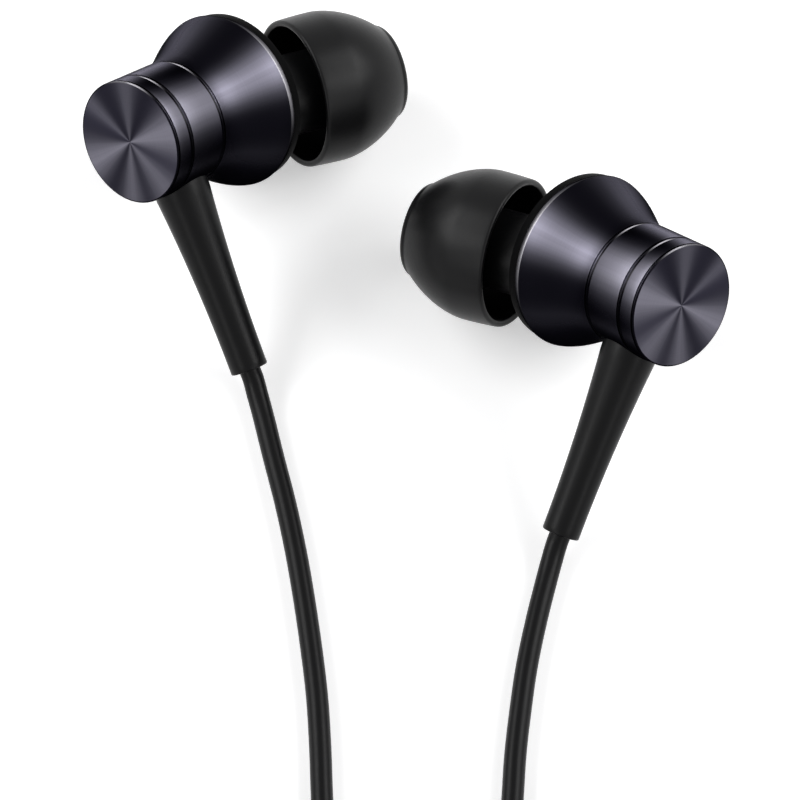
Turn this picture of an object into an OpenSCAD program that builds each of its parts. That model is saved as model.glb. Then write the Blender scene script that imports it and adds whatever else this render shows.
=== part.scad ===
// Wired in-ear earphones: a pair of turned metal housings with angled nozzles, soft ear tips
// and tapered boots, on a forked cable that ends in a 3.5 mm three-pole plug.
// The pair lies on a table. The spare cable is wound into three flat coils, each with its tie.
//
// Each earpiece is built along +Z, from its rear face at z = 0 to its front, with its boot
// along -Y, and is then turned and set down on its ear tip. The right one is the mirror image.

/* [Rear sleeve and cap] */
// Diameter of the straight rear sleeve
sleeve_d = 9.5; // [9:0.1:10.4]
// Length of the sleeve, from the cap to the bell
sleeve_len = 5.2; // [4.75:0.05:7]
// Wall of the sleeve
sleeve_wall = 0.6; // [0.4:0.05:0.7]
// Thickness of the cap's visible rim
cap_rim = 0.1; // [0.1:0.05:0.6]
// Chamfer round the cap's face
cap_chamfer = 0.05; // [0.02:0.01:0.08]
// Thickness of the cap's face
cap_face = 0.5; // [0.4:0.05:0.6]
// Depth of the cap's spigot inside the sleeve
cap_spigot = 1; // [0.5:0.1:1.2]
// Wall of the spigots inside the sleeve and the bell
spigot_wall = 0.5; // [0.3:0.05:0.55]
// Length of the sleeve's spigot inside the bell
sleeve_spigot = 0.8; // [0.4:0.1:1]
// Width of the turned line grooves
groove_w = 0.2; // [0.1:0.05:0.25]
// Depth of the turned line grooves
groove_depth = 0.15; // [0.05:0.05:0.2]
// Distance from the cap's rim to the middle groove
groove_at = 1.6; // [0.8:0.05:1.6]

/* [Bell] */
// Diameter that the bell flares to
bell_d = 13.6; // [13.2:0.1:15]
// Length of the bell
bell_len = 5.95; // [5.6:0.05:7]
// Straight run before the bell starts to flare
bell_straight = 0.3; // [0.25:0.05:0.8]
// How far past the front edge the flare would reach its crest
bell_crest = 0.45; // [0:0.05:1]
// Length of the polished edge at the bell's front
edge_len = 0.35; // [0.2:0.05:0.4]
// How far the polished edge slopes in
edge_in = 0.12; // [0.05:0.01:0.2]
// Depth of the driver's seat below the bell's front edge
seat_depth = 2.55; // [2.5:0.05:2.8]
// Depth of the ledge that carries the nozzle cover
ledge_depth = 0.85; // [0.5:0.05:1]
// Width of the ledge that carries the nozzle cover
ledge_w = 0.9; // [0.6:0.05:0.95]

/* [Nozzle] */
// Height of the cover's bezel above the bell's front edge
bezel_h = 0.85; // [0.6:0.05:1]
// Depth of the dish inside the bezel
dish_depth = 0.45; // [0.15:0.05:0.5]
// Tilt of the nozzle from the housing's axis
nozzle_tilt = 22; // [10:1:25]
// Direction of that tilt, from straight forwards towards the boot
nozzle_turn = 20; // [0:1:40]
// Offset of the nozzle's root from the axis, towards the boot
nozzle_offset = 0.8; // [0:0.1:1.2]
// Diameter of the nozzle's neck where it leaves the root
neck_root_d = 8.8; // [7.5:0.1:9]
// Diameter of the shoulder that stops the ear tip
shoulder_d = 5.8; // [5.5:0.1:6.2]
// Distance from the nozzle's root to the shoulder
neck_len = 3.1; // [2.8:0.1:4]
// Outside diameter of the nozzle tube
nozzle_d = 4.6; // [4.4:0.1:4.8]
// Diameter of the retaining lip
lip_d = 5.1; // [5:0.05:5.3]
// Length of the retaining lip
lip_len = 0.7; // [0.5:0.05:1]
// Length of the tube in front of the shoulder
tube_len = 6; // [5:0.1:6.5]
// Diameter of the sound bore
bore_d = 3.5; // [3:0.1:3.6]
// Diameter of the mesh disc
mesh_d = 3.9; // [3.8:0.05:4]
// Thickness of the mesh disc
mesh_t = 0.15; // [0.1:0.05:0.2]
// Diameter of the holes in the mesh
mesh_hole_d = 0.32; // [0.2:0.02:0.4]
// Spacing of the holes in the mesh
mesh_pitch = 0.62; // [0.55:0.01:0.7]
// Length of the foam damper behind the mesh
damper_len = 0.8; // [0.4:0.1:2]

/* [Ear tip] */
// Outside diameter of the ear tip's skirt
skirt_d = 11.6; // [10.9:0.1:13.5]
// How much narrower the skirt's rim is than the skirt
rim_taper = 0.2; // [0:0.05:0.5]
// Distance from the core's back end to the skirt's rim
rim_ahead = 2.1; // [1.7:0.05:2.4]
// Length of the ear tip from the rim to the front
tip_len = 8.2; // [7.8:0.1:8.8]
// Distance from the rim to the skirt's widest place
skirt_swell = 2.85; // [2.4:0.05:3.2]
// Half length of the oval that shapes the dome
dome_reach = 7.05; // [6.9:0.05:8]
// Fullness of that oval, where 2 is an ellipse and less is more pointed
dome_fullness = 1.68; // [1.6:0.02:2.2]
// Wall of the skirt
skirt_wall = 0.5; // [0.35:0.05:0.6]
// Wall of the core round the nozzle
core_wall = 0.5; // [0.4:0.05:0.6]
// Thickness of the solid crown at the front
crown = 1.9; // [1.6:0.1:2.2]
// Diameter of the sound hole
sound_hole_d = 3.8; // [3.4:0.1:4]
// Radius of the front edge
tip_round = 0.5; // [0.3:0.05:0.6]

/* [Driver] */
// Outside diameter of the driver
driver_d = 10.2; // [10.1:0.05:10.3]
// Height of the frame's ring
frame_ring_h = 0.7; // [0.6:0.05:0.75]
// Width of the frame's ring
frame_ring_w = 0.45; // [0.3:0.05:0.5]
// Thickness of the frame's web
frame_web = 0.35; // [0.25:0.05:0.4]
// Depth of the frame's cup behind the web
frame_cup = 1.2; // [0.9:0.1:1.4]
// Wall of the frame's cup
frame_cup_wall = 0.3; // [0.2:0.05:0.35]
// Diameter of the vents through the web
vent_d = 0.3; // [0.2:0.02:0.32]
// Thickness of the tuning paper over the vents
paper_t = 0.1; // [0.05:0.01:0.2]
// Outside diameter of the yoke
yoke_d = 6.5; // [6.3:0.1:6.6]
// Height of the yoke
yoke_h = 2; // [1.9:0.05:2]
// Wall of the yoke
yoke_wall = 0.4; // [0.3:0.05:0.45]
// Thickness of the yoke's floor
yoke_floor = 0.5; // [0.3:0.05:0.6]
// Diameter of the magnet
magnet_d = 4.4; // [4:0.1:4.5]
// Diameter of the pole plate
pole_d = 4.5; // [4.3:0.05:4.5]
// Thickness of the pole plate
pole_t = 0.45; // [0.3:0.05:0.5]
// Inside diameter of the voice coil
voice_coil_d = 4.8; // [4.75:0.01:4.85]
// Winding thickness of the voice coil
voice_coil_w = 0.22; // [0.15:0.01:0.25]
// Height of the voice coil
voice_coil_h = 1.3; // [1:0.1:1.4]
// Thickness of the diaphragm
diaphragm_t = 0.1; // [0.05:0.01:0.12]
// Height of the diaphragm's dome
dome_h = 0.5; // [0.3:0.05:0.5]
// Height of the roll round the dome
roll_h = 0.35; // [0.2:0.05:0.4]
// Travel of the diaphragm each way
diaphragm_travel = 0.2; // [0.1:0.05:0.2]
// Height of the driver's cover
cover_h = 1.3; // [1.3:0.05:1.4]
// Thickness of the cover's plate
cover_t = 0.25; // [0.2:0.01:0.26]
// Thickness of the foam gasket
gasket_t = 0.3; // [0.2:0.05:0.4]
// Width of the foam gasket
gasket_w = 1.1; // [0.8:0.1:1.3]
// Diameter of the terminal board
board_d = 5.8; // [5:0.1:6]
// Thickness of the terminal board
board_t = 0.5; // [0.4:0.1:0.6]
// Diameter of the lead wires
wire_d = 0.3; // [0.2:0.02:0.4]
// Run of the lead wires from the knot to their corner
wire_run = 0.8; // [0.5:0.1:1.2]

/* [Boot] */
// Distance from the sleeve's back edge to the boot's axis
boot_at = 3.25; // [3.2:0.05:3.3]
// Diameter of the boot where it meets the sleeve
boot_root_d = 4.28; // [3.8:0.02:4.6]
// Diameter of the boot's free end
boot_end_d = 2.86; // [2.6:0.02:3.2]
// Length of the boot outside the sleeve
boot_len = 14.55; // [12:0.05:15.5]
// Diameter of the boot's neck through the sleeve
boot_neck_d = 2.6; // [2.3:0.05:2.7]
// Diameter of the boot's flange inside the sleeve
boot_flange_d = 3.3; // [3.1:0.05:3.4]
// Thickness of the boot's flange
boot_flange_t = 0.5; // [0.4:0.05:0.6]
// Diameter of the knot that holds the cord
knot_d = 2.2; // [2.1:0.05:2.3]

/* [Cable] */
// Diameter of the cord to each earpiece
branch_d = 1.65; // [1.4:0.05:1.75]
// Diameter of the cord below the splitter
main_d = 2; // [1.8:0.05:2.1]
// Least gap kept between the turns of a coil
turn_gap = 0.45; // [0.42:0.01:0.6]
// Diameter at the middle of the left coil's turns
left_coil_d = 17; // [16:0.1:18]
// Diameter at the middle of the right coil's turns
right_coil_d = 17.9; // [17:0.1:19]
// Diameter at the middle of the main coil's turns
main_coil_d = 23; // [22:0.1:24]
// Thickness of the coil ties
tie_t = 0.4; // [0.3:0.05:0.6]
// Width of the coil ties
tie_w = 2.4; // [2:0.1:4]
// Diameter of the splitter
splitter_d = 4.8; // [4.6:0.1:6]
// Length of the splitter
splitter_len = 14; // [12:0.5:14]
// Diameter of the splitter's ends
splitter_end_d = 4.2; // [4.1:0.1:4.4]
// Spacing of the two cords in the splitter
branch_spacing = 2.2; // [2:0.1:2.4]

/* [Plug] */
// Diameter of the plug's metal shell
shell_d = 6; // [5.6:0.1:7]
// Length of the plug's metal shell
shell_len = 14; // [10:0.5:16]
// Length of the plug's boot
plug_boot_len = 9; // [6:0.5:12]
// Diameter of the plug boot's thin end
plug_boot_end_d = 3; // [2.8:0.1:3.4]
// Diameter of the plug boot where it meets the shell
plug_boot_root_d = 4.4; // [4:0.1:5]
// Diameter of the plug's collar
collar_d = 4.8; // [4.4:0.1:5]
// Depth of the collar inside the shell
collar_len = 2; // [1.5:0.1:3]
// Diameter of the plug's shaft
shaft_d = 3.5; // [3.45:0.01:3.55]
// Length of the sleeve contact
contact_sleeve_len = 7.2; // [6.5:0.1:8]
// Length of the ring contact
contact_ring_len = 1.8; // [1.5:0.1:2.2]
// Length of each insulating ring
insulator_len = 0.6; // [0.4:0.1:0.8]
// Length of the tip contact's head
contact_tip_len = 3.8; // [3.4:0.1:4.2]
// Diameter of the rod that carries the tip contact
rod_d = 1.2; // [1:0.1:1.4]
// Wall of the insulating tube round the rod
insulator_wall = 0.3; // [0.25:0.05:0.35]

/* [Placing] */
// Compass direction of the left housing's axis, from +X towards +Y
heading = 44; // [35:1:50]
// Angle of the housing's axis from straight up
lean = 118.5; // [112:0.5:124]
// Turn of the housing about its own axis
roll = 37; // [30:1:42]
// Distance between the two housings' rear faces
pair_spacing = 40.9; // [38:0.1:48]
// Place of the left rear face along Y
left_y = 6.2; // [5:0.1:8]
// How much nearer the cable the right rear face lies
pair_step = 13.9; // [13.2:0.1:18]

/* [Fits] */
// Clearance of parts that push together
fit = 0.05; // [0.02:0.01:0.08]
// Clearance between a coil and its tie
tie_gap = 0.15; // [0.1:0.01:0.3]
// Clearance between a coil and the tie under it, and between a coil and the cord that meets it
lay_gap = 0.05; // [0.02:0.01:0.1]

/* [Hidden] */
$fn = 64;

SIDES = ["left", "right"];
EARPIECE_NODES = [
    "rear_cap", "rear_sleeve", "bell", "nozzle", "nozzle_mesh", "damper",
    "driver_frame", "tuning_paper", "yoke", "magnet", "pole_plate", "voice_coil",
    "diaphragm", "driver_cover", "gasket", "terminal_board", "lead_wires",
    "boot", "cord_knot", "ear_tip"
];
CABLE_NODES = [
    "left_cord", "left_coil", "left_cord_end", "right_cord", "right_coil", "right_cord_end",
    "splitter", "main_cord", "main_coil", "main_cord_end", "coil_ties",
    "plug_boot", "plug_shell", "plug_sleeve", "plug_ring", "plug_tip", "plug_insulator"
];

metal_colour = [0.30, 0.29, 0.37];
trim_colour = [0.62, 0.61, 0.68];
rubber_colour = [0.09, 0.09, 0.10];
plastic_colour = [0.12, 0.12, 0.13];
steel_colour = [0.66, 0.67, 0.69];
copper_colour = [0.72, 0.42, 0.25];
board_colour = [0.10, 0.35, 0.20];
film_colour = [0.80, 0.72, 0.45];
paper_colour = [0.88, 0.86, 0.80];
gold_colour = [0.85, 0.68, 0.35];

// Levels along the housing's axis
sleeve_z = cap_rim;
bell_z = sleeve_z + sleeve_len;
front_z = bell_z + bell_len;
seat_z = front_z - seat_depth;
ledge_z = front_z - ledge_depth;
cover_z = seat_z + frame_ring_h;
gasket_z = cover_z + cover_h;
nozzle_back_z = gasket_z + gasket_t;
bezel_z = front_z + bezel_h;
web_z = seat_z + frame_web;
yoke_top_z = web_z - 0.05;
yoke_z = yoke_top_z - yoke_h;
board_z = yoke_z - board_t;
pad_t = 0.12;
boot_z = sleeve_z + boot_at;

// Radii of the housing
sleeve_r = sleeve_d / 2;
sleeve_bore_r = sleeve_r - sleeve_wall;
spigot_r = sleeve_bore_r - fit;
bell_r = bell_d / 2;
seat_r = driver_d / 2 + fit;
ledge_r = seat_r + ledge_w;
yoke_hole_r = yoke_d / 2 + fit;
web_edge_r = driver_d / 2 - frame_ring_w;
vent_ring_r = (yoke_hole_r + frame_cup_wall + sleeve_bore_r) / 2;

// Levels along the nozzle's axis, from its root on the bell's front plane
tube_end = neck_len + tube_len;
mesh_seat = tube_end - mesh_t - fit;
core_back = neck_len + fit;
rim_n = core_back + rim_ahead;
dome_n = rim_n + skirt_swell;
tip_front = rim_n + tip_len;
core_r = lip_d / 2 + fit + core_wall;
skirt_r = skirt_d / 2;

// Levels along the boot's axis, from the housing's axis
boot_end = sleeve_r + boot_len;
flange_out = sqrt(pow(sleeve_bore_r, 2) - pow(boot_flange_d / 2, 2)) - fit;
flange_in = flange_out - boot_flange_t;
knot_at = flange_in - knot_d / 2;

// Levels along the plug's shaft, from the shell's front face
ring_at = contact_sleeve_len + insulator_len;
second_insulator_at = ring_at + contact_ring_len;
head_at = second_insulator_at + insulator_len;
insulator_r = rod_d / 2 + fit + insulator_wall;

// Outer radius of the bell at level z
function bell_outer(z) =
    let (start = bell_z + bell_straight, run = front_z + bell_crest - start)
    sleeve_r + (bell_r - sleeve_r) * (1 - cos(180 * max(0, z - start) / run)) / 2;

// Outer radius of the ear tip at distance n along the nozzle
function tip_outer(n) = n < dome_n
    ? skirt_r - rim_taper / 2 * pow((dome_n - n) / skirt_swell, 2)
    : skirt_r * pow(1 - pow((n - dome_n) / dome_reach, dome_fullness), 1 / dome_fullness);

// Radius of the boot at share u of its length, from the sleeve to the free end
function boot_r(u) = (boot_end_d + (boot_root_d - boot_end_d) * pow(1 - u, 2)) / 2;

// Turns of a point about the axes
function turned_z(a, v) = [v.x * cos(a) - v.y * sin(a), v.x * sin(a) + v.y * cos(a), v.z];
function turned_y(a, v) = [v.x * cos(a) + v.z * sin(a), v.y, v.z * cos(a) - v.x * sin(a)];
function laid(v) = turned_z(heading, turned_y(lean, turned_z(roll, v)));
function mirrored_x(v) = [-v.x, v.y, v.z];

// The earpiece's height is set by the lowest point of its ear tip
nozzle_root = [0, -nozzle_offset, front_z];
nozzle_dir = turned_z(nozzle_turn, turned_y(-nozzle_tilt, [0, 0, 1]));
laid_dir = laid(nozzle_dir);
rest_z = -min([for (n = [rim_n : 0.1 : tip_front])
    laid(nozzle_root).z + n * laid_dir.z - tip_outer(n) * sqrt(1 - pow(laid_dir.z, 2))]);
left_at = [-pair_spacing / 2, left_y, rest_z];
right_at = [pair_spacing / 2, left_y - pair_step, rest_z];

// Where each cord leaves its boot, and its direction there
cord_exit = laid([0, -boot_end, boot_z]);
cord_dir = laid([0, -1, 0]);
left_exit = left_at + cord_exit;
right_exit = right_at + mirrored_x(cord_exit);
exit_run = 0.8;

// Coils: 24 rings to a turn
turn_rings = 24;
branch_pitch = branch_d + turn_gap;
main_pitch = main_d + turn_gap;
branch_coil_z = tie_t + lay_gap + branch_d / 2;
main_coil_z = tie_t + lay_gap + main_d / 2;
left_coil_at = [-13.3, -56.6, branch_coil_z];
right_coil_at = [15.7, -56.8, branch_coil_z];
main_coil_at = [-3.6, -117.7, main_coil_z];
branch_coil_rings = 122;
main_coil_rings = 262;
branch_start = 30;
main_start = 60;
branch_floor = branch_d / 2 + 0.02;
main_floor = main_d / 2 + 0.02;

function unit(v) = v / norm(v);
function coil_turns(rings) = rings / turn_rings;
function coil_outer(mid_d, pitch, rings) = mid_d / 2 + pitch * coil_turns(rings) / 4;
function coil_inner(mid_d, pitch, rings) = mid_d / 2 - pitch * coil_turns(rings) / 4;

// A coil in two layers: it winds in, climbs in the half turn where it reverses, and winds out.
// hand is 1 for a clockwise coil and -1 for the other; the ends run straight for one diameter.
function coil_point(at, mid_d, pitch, rings, start, hand, i) =
    let (
        turn = i / turn_rings,
        half = coil_turns(rings) / 2,
        radius = coil_outer(mid_d, pitch, rings) - pitch * (half - abs(turn - half)),
        rise = min(1, max(0, (turn - half) * 2 + 0.5)),
        angle = start - hand * 360 * turn
    )
    at + [radius * cos(angle), radius * sin(angle), pitch * rise];
function coil_heading(start, hand, turn) =
    let (angle = start - hand * 360 * turn) hand * [sin(angle), -cos(angle), 0];
function coil_path(at, mid_d, pitch, rings, start, hand, d) = [
    coil_point(at, mid_d, pitch, rings, start, hand, 0) - d * coil_heading(start, hand, 0),
    for (i = [0 : rings]) coil_point(at, mid_d, pitch, rings, start, hand, i),
    coil_point(at, mid_d, pitch, rings, start, hand, rings)
        + d * coil_heading(start, hand, coil_turns(rings))
];

left_coil_path = coil_path(left_coil_at, left_coil_d, branch_pitch, branch_coil_rings,
    branch_start, 1, branch_d);
right_coil_path = coil_path(right_coil_at, right_coil_d, branch_pitch, branch_coil_rings,
    180 - branch_start, -1, branch_d);
main_coil_path = coil_path(main_coil_at, main_coil_d, main_pitch, main_coil_rings,
    main_start, 1, main_d);

// The last stretch of a cord before a coil, and its first after one, in line with the coil's end
function into_coil(path) =
    let (dir = unit(path[1] - path[0])) [path[0] - dir, path[0] - lay_gap * dir];
function out_of_coil(path) =
    let (end = path[len(path) - 1], dir = unit(end - path[len(path) - 2]))
    [end + lay_gap * dir, end + dir];

// Splitter and plug: both lie on the table along Y
splitter_at = [1, -81, splitter_d / 2];
splitter_out = splitter_at - [0, splitter_len, 0];
plug_at = [20, -111.5, shell_d / 2];
branch_in = [branch_spacing / 2, 0, 0];

// Routes of the free stretches
left_route = [
    left_exit, left_exit + exit_run * cord_dir,
    [-11, -8.5, 1.05], [-10.6, -10, branch_floor], [-9.8, -13.5, branch_floor],
    [-8.85, -17.5, branch_floor], [-8.05, -21.5, branch_floor], [-7.4, -25.5, branch_floor],
    [-6.85, -29.5, branch_floor], [-6.4, -33.5, branch_floor], [-6.15, -37.5, branch_floor],
    [-6, -41.5, branch_floor], [-5.8, -45, branch_floor], [-5.3, -47.5, 1],
    each into_coil(left_coil_path)
];
left_end_route = [
    each out_of_coil(left_coil_path),
    [-2.1, -61.5, 2.6], [-1.8, -65.5, 1.35], [-1.2, -69.5, 0.9], [-0.5, -73.5, 1.05],
    [-0.15, -77, 1.8],
    splitter_at - branch_in + [0, 2, 0], splitter_at - branch_in
];
right_route = [
    right_exit, right_exit + exit_run * mirrored_x(cord_dir),
    [11, -22.3, 1.05], [10.6, -23.8, branch_floor], [9.8, -27.2, branch_floor],
    [9.05, -31, branch_floor], [8.55, -34.6, branch_floor], [8.15, -38.2, branch_floor],
    [7.9, -42, branch_floor], [7.65, -45.2, branch_floor], [7.2, -47.6, 1],
    each into_coil(right_coil_path)
];
right_end_route = [
    each out_of_coil(right_coil_path),
    [4.1, -61.5, 2.6], [3.8, -65.5, 1.35], [3.2, -69.5, 0.9], [2.5, -73.5, 1.05],
    [2.15, -77, 1.8],
    splitter_at + branch_in + [0, 2, 0], splitter_at + branch_in
];
main_route = [
    splitter_out, splitter_out - [0, 1.5, 0],
    [1.3, -98, 1.8], [2.05, -99.4, 1.5], each into_coil(main_coil_path)
];
main_end_route = [
    each out_of_coil(main_coil_path),
    [2.5, -99.5, 3.9], [6.5, -99.6, 3.3], [10.3, -99.9, 2.1], [13.8, -101, 1.35],
    [16.9, -103, 1.3], [19.1, -105.9, 1.9],
    plug_at + [0, 2, 0], plug_at
];

// One ring of a tube at a point, square to its direction
function ring(p, dir, d, sides) =
    let (across = unit(cross(dir, [0, 0, 1])), up = cross(across, dir))
    [for (k = [0 : sides - 1])
        p + d / 2 * (cos(360 * k / sides) * across + sin(360 * k / sides) * up)];

// A closed tube along a path
module tube(path, d, sides) {
    last = len(path) - 1;
    rings = [for (i = [0 : last])
        ring(path[i], unit(path[min(i + 1, last)] - path[max(i - 1, 0)]), d, sides)];
    points = [for (r = rings) each r];
    start_cap = [for (k = [1 : sides - 2]) [0, k + 1, k]];
    end_cap = [for (k = [1 : sides - 2]) let (a = last * sides) [a, a + k, a + k + 1]];
    walls = [for (i = [0 : last - 1], k = [0 : sides - 1])
        let (a = i * sides + k, b = i * sides + (k + 1) % sides)
        each [[a, b, b + sides], [a, b + sides, a + sides]]];
    polyhedron(points = points, faces = concat(start_cap, end_cap, walls));
}

// Least gap of a coil to itself, past the next half turn
function least_gap(path, d) = min([
    for (i = [0 : len(path) - 1])
        for (j = [i + turn_rings / 2 : 1 : len(path) - 1]) norm(path[i] - path[j])
]) - d;
echo(str("left coil, least gap to itself: ", least_gap(left_coil_path, branch_d), " mm"));
echo(str("right coil, least gap to itself: ", least_gap(right_coil_path, branch_d), " mm"));
echo(str("main coil, least gap to itself: ", least_gap(main_coil_path, main_d), " mm"));

// Places an earpiece's part, built in the housing's own frame
module seat(side) {
    if (side == "left") translate(left_at) lay() children();
    if (side == "right") translate(right_at) mirror([1, 0, 0]) lay() children();
}

module lay() {
    rotate([0, 0, heading]) rotate([0, lean, 0]) rotate([0, 0, roll]) children();
}

// Turns +Z into the nozzle's axis, with z = 0 at its root
module along_nozzle() {
    translate(nozzle_root)
        rotate([0, 0, nozzle_turn]) rotate([0, -nozzle_tilt, 0]) children();
}

// Turns +Z into the boot's axis, with z = 0 on the housing's axis
module along_boot() {
    translate([0, 0, boot_z]) rotate([90, 0, 0]) children();
}

module spun(points) {
    rotate_extrude() polygon(points);
}

module washer(inner_r, outer_r, z, h) {
    translate([0, 0, z]) rotate_extrude() translate([inner_r, 0]) square([outer_r - inner_r, h]);
}

module rear_cap() {
    spigot_end = cap_rim + cap_spigot;
    color(metal_colour) spun([
        [0, 0], [sleeve_r - cap_chamfer, 0], [sleeve_r, cap_chamfer], [sleeve_r, cap_rim],
        [spigot_r, cap_rim], [spigot_r, spigot_end],
        [spigot_r - spigot_wall, spigot_end], [spigot_r - spigot_wall, cap_face],
        [0, cap_face]
    ]);
}

module rear_sleeve() {
    groove_r = sleeve_r - groove_depth;
    groove_z = sleeve_z + groove_at;
    spigot_end = bell_z + sleeve_spigot;
    color(metal_colour) difference() {
        spun([
            [sleeve_bore_r, sleeve_z], [groove_r, sleeve_z],
            [groove_r, sleeve_z + groove_w], [sleeve_r, sleeve_z + groove_w],
            [sleeve_r, groove_z], [groove_r, groove_z],
            [groove_r, groove_z + groove_w], [sleeve_r, groove_z + groove_w],
            [sleeve_r, bell_z], [spigot_r, bell_z], [spigot_r, spigot_end],
            [spigot_r - spigot_wall, spigot_end], [spigot_r - spigot_wall, bell_z],
            [sleeve_bore_r, bell_z - spigot_wall]
        ]);
        along_boot() cylinder(d = boot_neck_d + 2 * fit, h = sleeve_d);
    }
}

module bell() {
    groove_r = sleeve_r - groove_depth;
    flare_start = bell_z + bell_straight;
    flare_end = front_z - edge_len;
    steps = 14;
    color(metal_colour) spun([
        [sleeve_bore_r, bell_z], [groove_r, bell_z],
        [groove_r, bell_z + groove_w], [sleeve_r, bell_z + groove_w],
        for (i = [0 : steps])
            let (z = flare_start + (flare_end - flare_start) * i / steps) [bell_outer(z), z],
        [bell_outer(flare_end) - edge_in, front_z],
        [ledge_r, front_z], [ledge_r, ledge_z], [seat_r, ledge_z],
        [seat_r, seat_z], [sleeve_bore_r, seat_z]
    ]);
}

// Moulded cover with its bezel, angled neck, tube and retaining lip
module nozzle() {
    bezel_r = bell_outer(front_z - edge_len) - edge_in - fit;
    face_z = bezel_z - dish_depth;
    lip_start = tube_end - 0.4 - lip_len;
    neck_slope = (neck_root_d - shoulder_d) / 2 / neck_len;
    neck_start = -3;
    sweep_r = sleeve_d * 2;
    color(plastic_colour) difference() {
        union() {
            spun([
                [0, nozzle_back_z], [seat_r + fit, nozzle_back_z], [seat_r + fit, ledge_z],
                [ledge_r - fit, ledge_z], [ledge_r - fit, front_z], [bezel_r, front_z],
                [bezel_r, bezel_z - 0.2], [bezel_r - 0.2, bezel_z],
                [bezel_r - 0.5, bezel_z], [bezel_r - 0.65, face_z], [0, face_z]
            ]);
            intersection() {
                along_nozzle() spun([
                    [0, neck_start], [neck_root_d / 2 - neck_start * neck_slope, neck_start],
                    [shoulder_d / 2, neck_len], [nozzle_d / 2, neck_len],
                    [nozzle_d / 2, lip_start], [lip_d / 2, lip_start + 0.25],
                    [lip_d / 2, lip_start + lip_len], [nozzle_d / 2, tube_end],
                    [0, tube_end]
                ]);
                translate([0, 0, front_z]) cylinder(r = sweep_r, h = tube_end + sleeve_d);
            }
        }
        along_nozzle() translate([0, 0, -front_z + nozzle_back_z])
            cylinder(d = bore_d, h = tube_end + front_z);
        along_nozzle() translate([0, 0, mesh_seat]) cylinder(d = mesh_d + 2 * fit, h = tube_end);
        translate([0, 0, nozzle_back_z - 1])
            cylinder(r = nozzle_offset + bore_d / 2 + 0.4, h = 1 + front_z - nozzle_back_z);
    }
}

module nozzle_mesh() {
    rows = 2;
    color(steel_colour) along_nozzle() difference() {
        translate([0, 0, mesh_seat]) cylinder(d = mesh_d, h = mesh_t);
        for (row = [-rows : rows], i = [0 : 2 * rows - abs(row)])
            translate([
                mesh_pitch * (i - rows + abs(row) / 2),
                mesh_pitch * row * sqrt(3) / 2,
                mesh_seat - 1
            ])
                cylinder(d = mesh_hole_d, h = mesh_t + 2);
    }
}

module damper() {
    color(paper_colour) along_nozzle() translate([0, 0, mesh_seat - fit - damper_len])
        cylinder(r = bore_d / 2 - fit, h = damper_len);
}

module driver_frame() {
    cup_r = yoke_hole_r + frame_cup_wall;
    vents = 6;
    color(plastic_colour) difference() {
        spun([
            [yoke_hole_r, seat_z - frame_cup], [cup_r, seat_z - frame_cup], [cup_r, seat_z],
            [driver_d / 2, seat_z], [driver_d / 2, cover_z], [web_edge_r, cover_z],
            [web_edge_r, web_z], [yoke_hole_r, web_z]
        ]);
        for (i = [0 : vents - 1]) rotate([0, 0, 360 * i / vents])
            translate([vent_ring_r, 0, seat_z - 1]) cylinder(d = vent_d, h = 2);
    }
}

module tuning_paper() {
    color(paper_colour) washer(yoke_hole_r + frame_cup_wall + fit / 2,
        sleeve_bore_r - fit / 2, seat_z - paper_t, paper_t);
}

module yoke() {
    outer_r = yoke_d / 2;
    inner_r = outer_r - yoke_wall;
    color(steel_colour) spun([
        [0, yoke_z], [outer_r - 0.15, yoke_z], [outer_r, yoke_z + 0.15],
        [outer_r, yoke_top_z], [inner_r, yoke_top_z], [inner_r, yoke_z + yoke_floor],
        [0, yoke_z + yoke_floor]
    ]);
}

module magnet() {
    magnet_z = yoke_z + yoke_floor;
    color(steel_colour) translate([0, 0, magnet_z])
        cylinder(d = magnet_d, h = yoke_top_z - pole_t - magnet_z);
}

module pole_plate() {
    color(steel_colour) translate([0, 0, yoke_top_z - pole_t]) cylinder(d = pole_d, h = pole_t);
}

module voice_coil() {
    coil_top = cover_z + diaphragm_travel;
    color(copper_colour) washer(voice_coil_d / 2, voice_coil_d / 2 + voice_coil_w,
        coil_top - voice_coil_h, voice_coil_h);
}

// Domed centre, a flat that carries the voice coil, and a rolled surround
module diaphragm() {
    base_z = cover_z + diaphragm_travel;
    glue_in = voice_coil_d / 2 - 0.05;
    glue_out = voice_coil_d / 2 + voice_coil_w + 0.05;
    edge_r = web_edge_r - fit;
    roll_start = glue_out + 0.1;
    roll_end = edge_r - 0.15;
    steps = 8;
    function lift(r) =
        r < glue_in ? dome_h * (1 - pow(r / glue_in, 2)) :
        r > roll_start && r < roll_end
            ? roll_h * sin(180 * (r - roll_start) / (roll_end - roll_start)) : 0;
    radii = [
        for (i = [0 : steps]) glue_in * i / steps,
        glue_out,
        for (i = [0 : steps]) roll_start + (roll_end - roll_start) * i / steps,
        edge_r
    ];
    color(film_colour) spun([
        for (r = radii) [r, base_z + lift(r)],
        for (i = [len(radii) - 1 : -1 : 0])
            [radii[i], base_z + diaphragm_t + lift(radii[i])]
    ]);
}

// Perforated guard in front of the diaphragm
module driver_cover() {
    plate_z = gasket_z - cover_t;
    module hole(r, d) translate([r, 0, plate_z - 1]) cylinder(d = d, h = cover_t + 2);
    color(steel_colour) difference() {
        spun([
            [0, plate_z], [web_edge_r, plate_z], [web_edge_r, cover_z], [driver_d / 2, cover_z],
            [driver_d / 2, gasket_z], [0, gasket_z]
        ]);
        hole(0, 1);
        for (i = [0 : 5]) rotate([0, 0, 60 * i]) hole(1.6, 0.8);
        for (i = [0 : 11]) rotate([0, 0, 30 * i]) hole(3, 0.7);
    }
}

module gasket() {
    color(rubber_colour) washer(driver_d / 2 - gasket_w, driver_d / 2, gasket_z, gasket_t);
}

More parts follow.
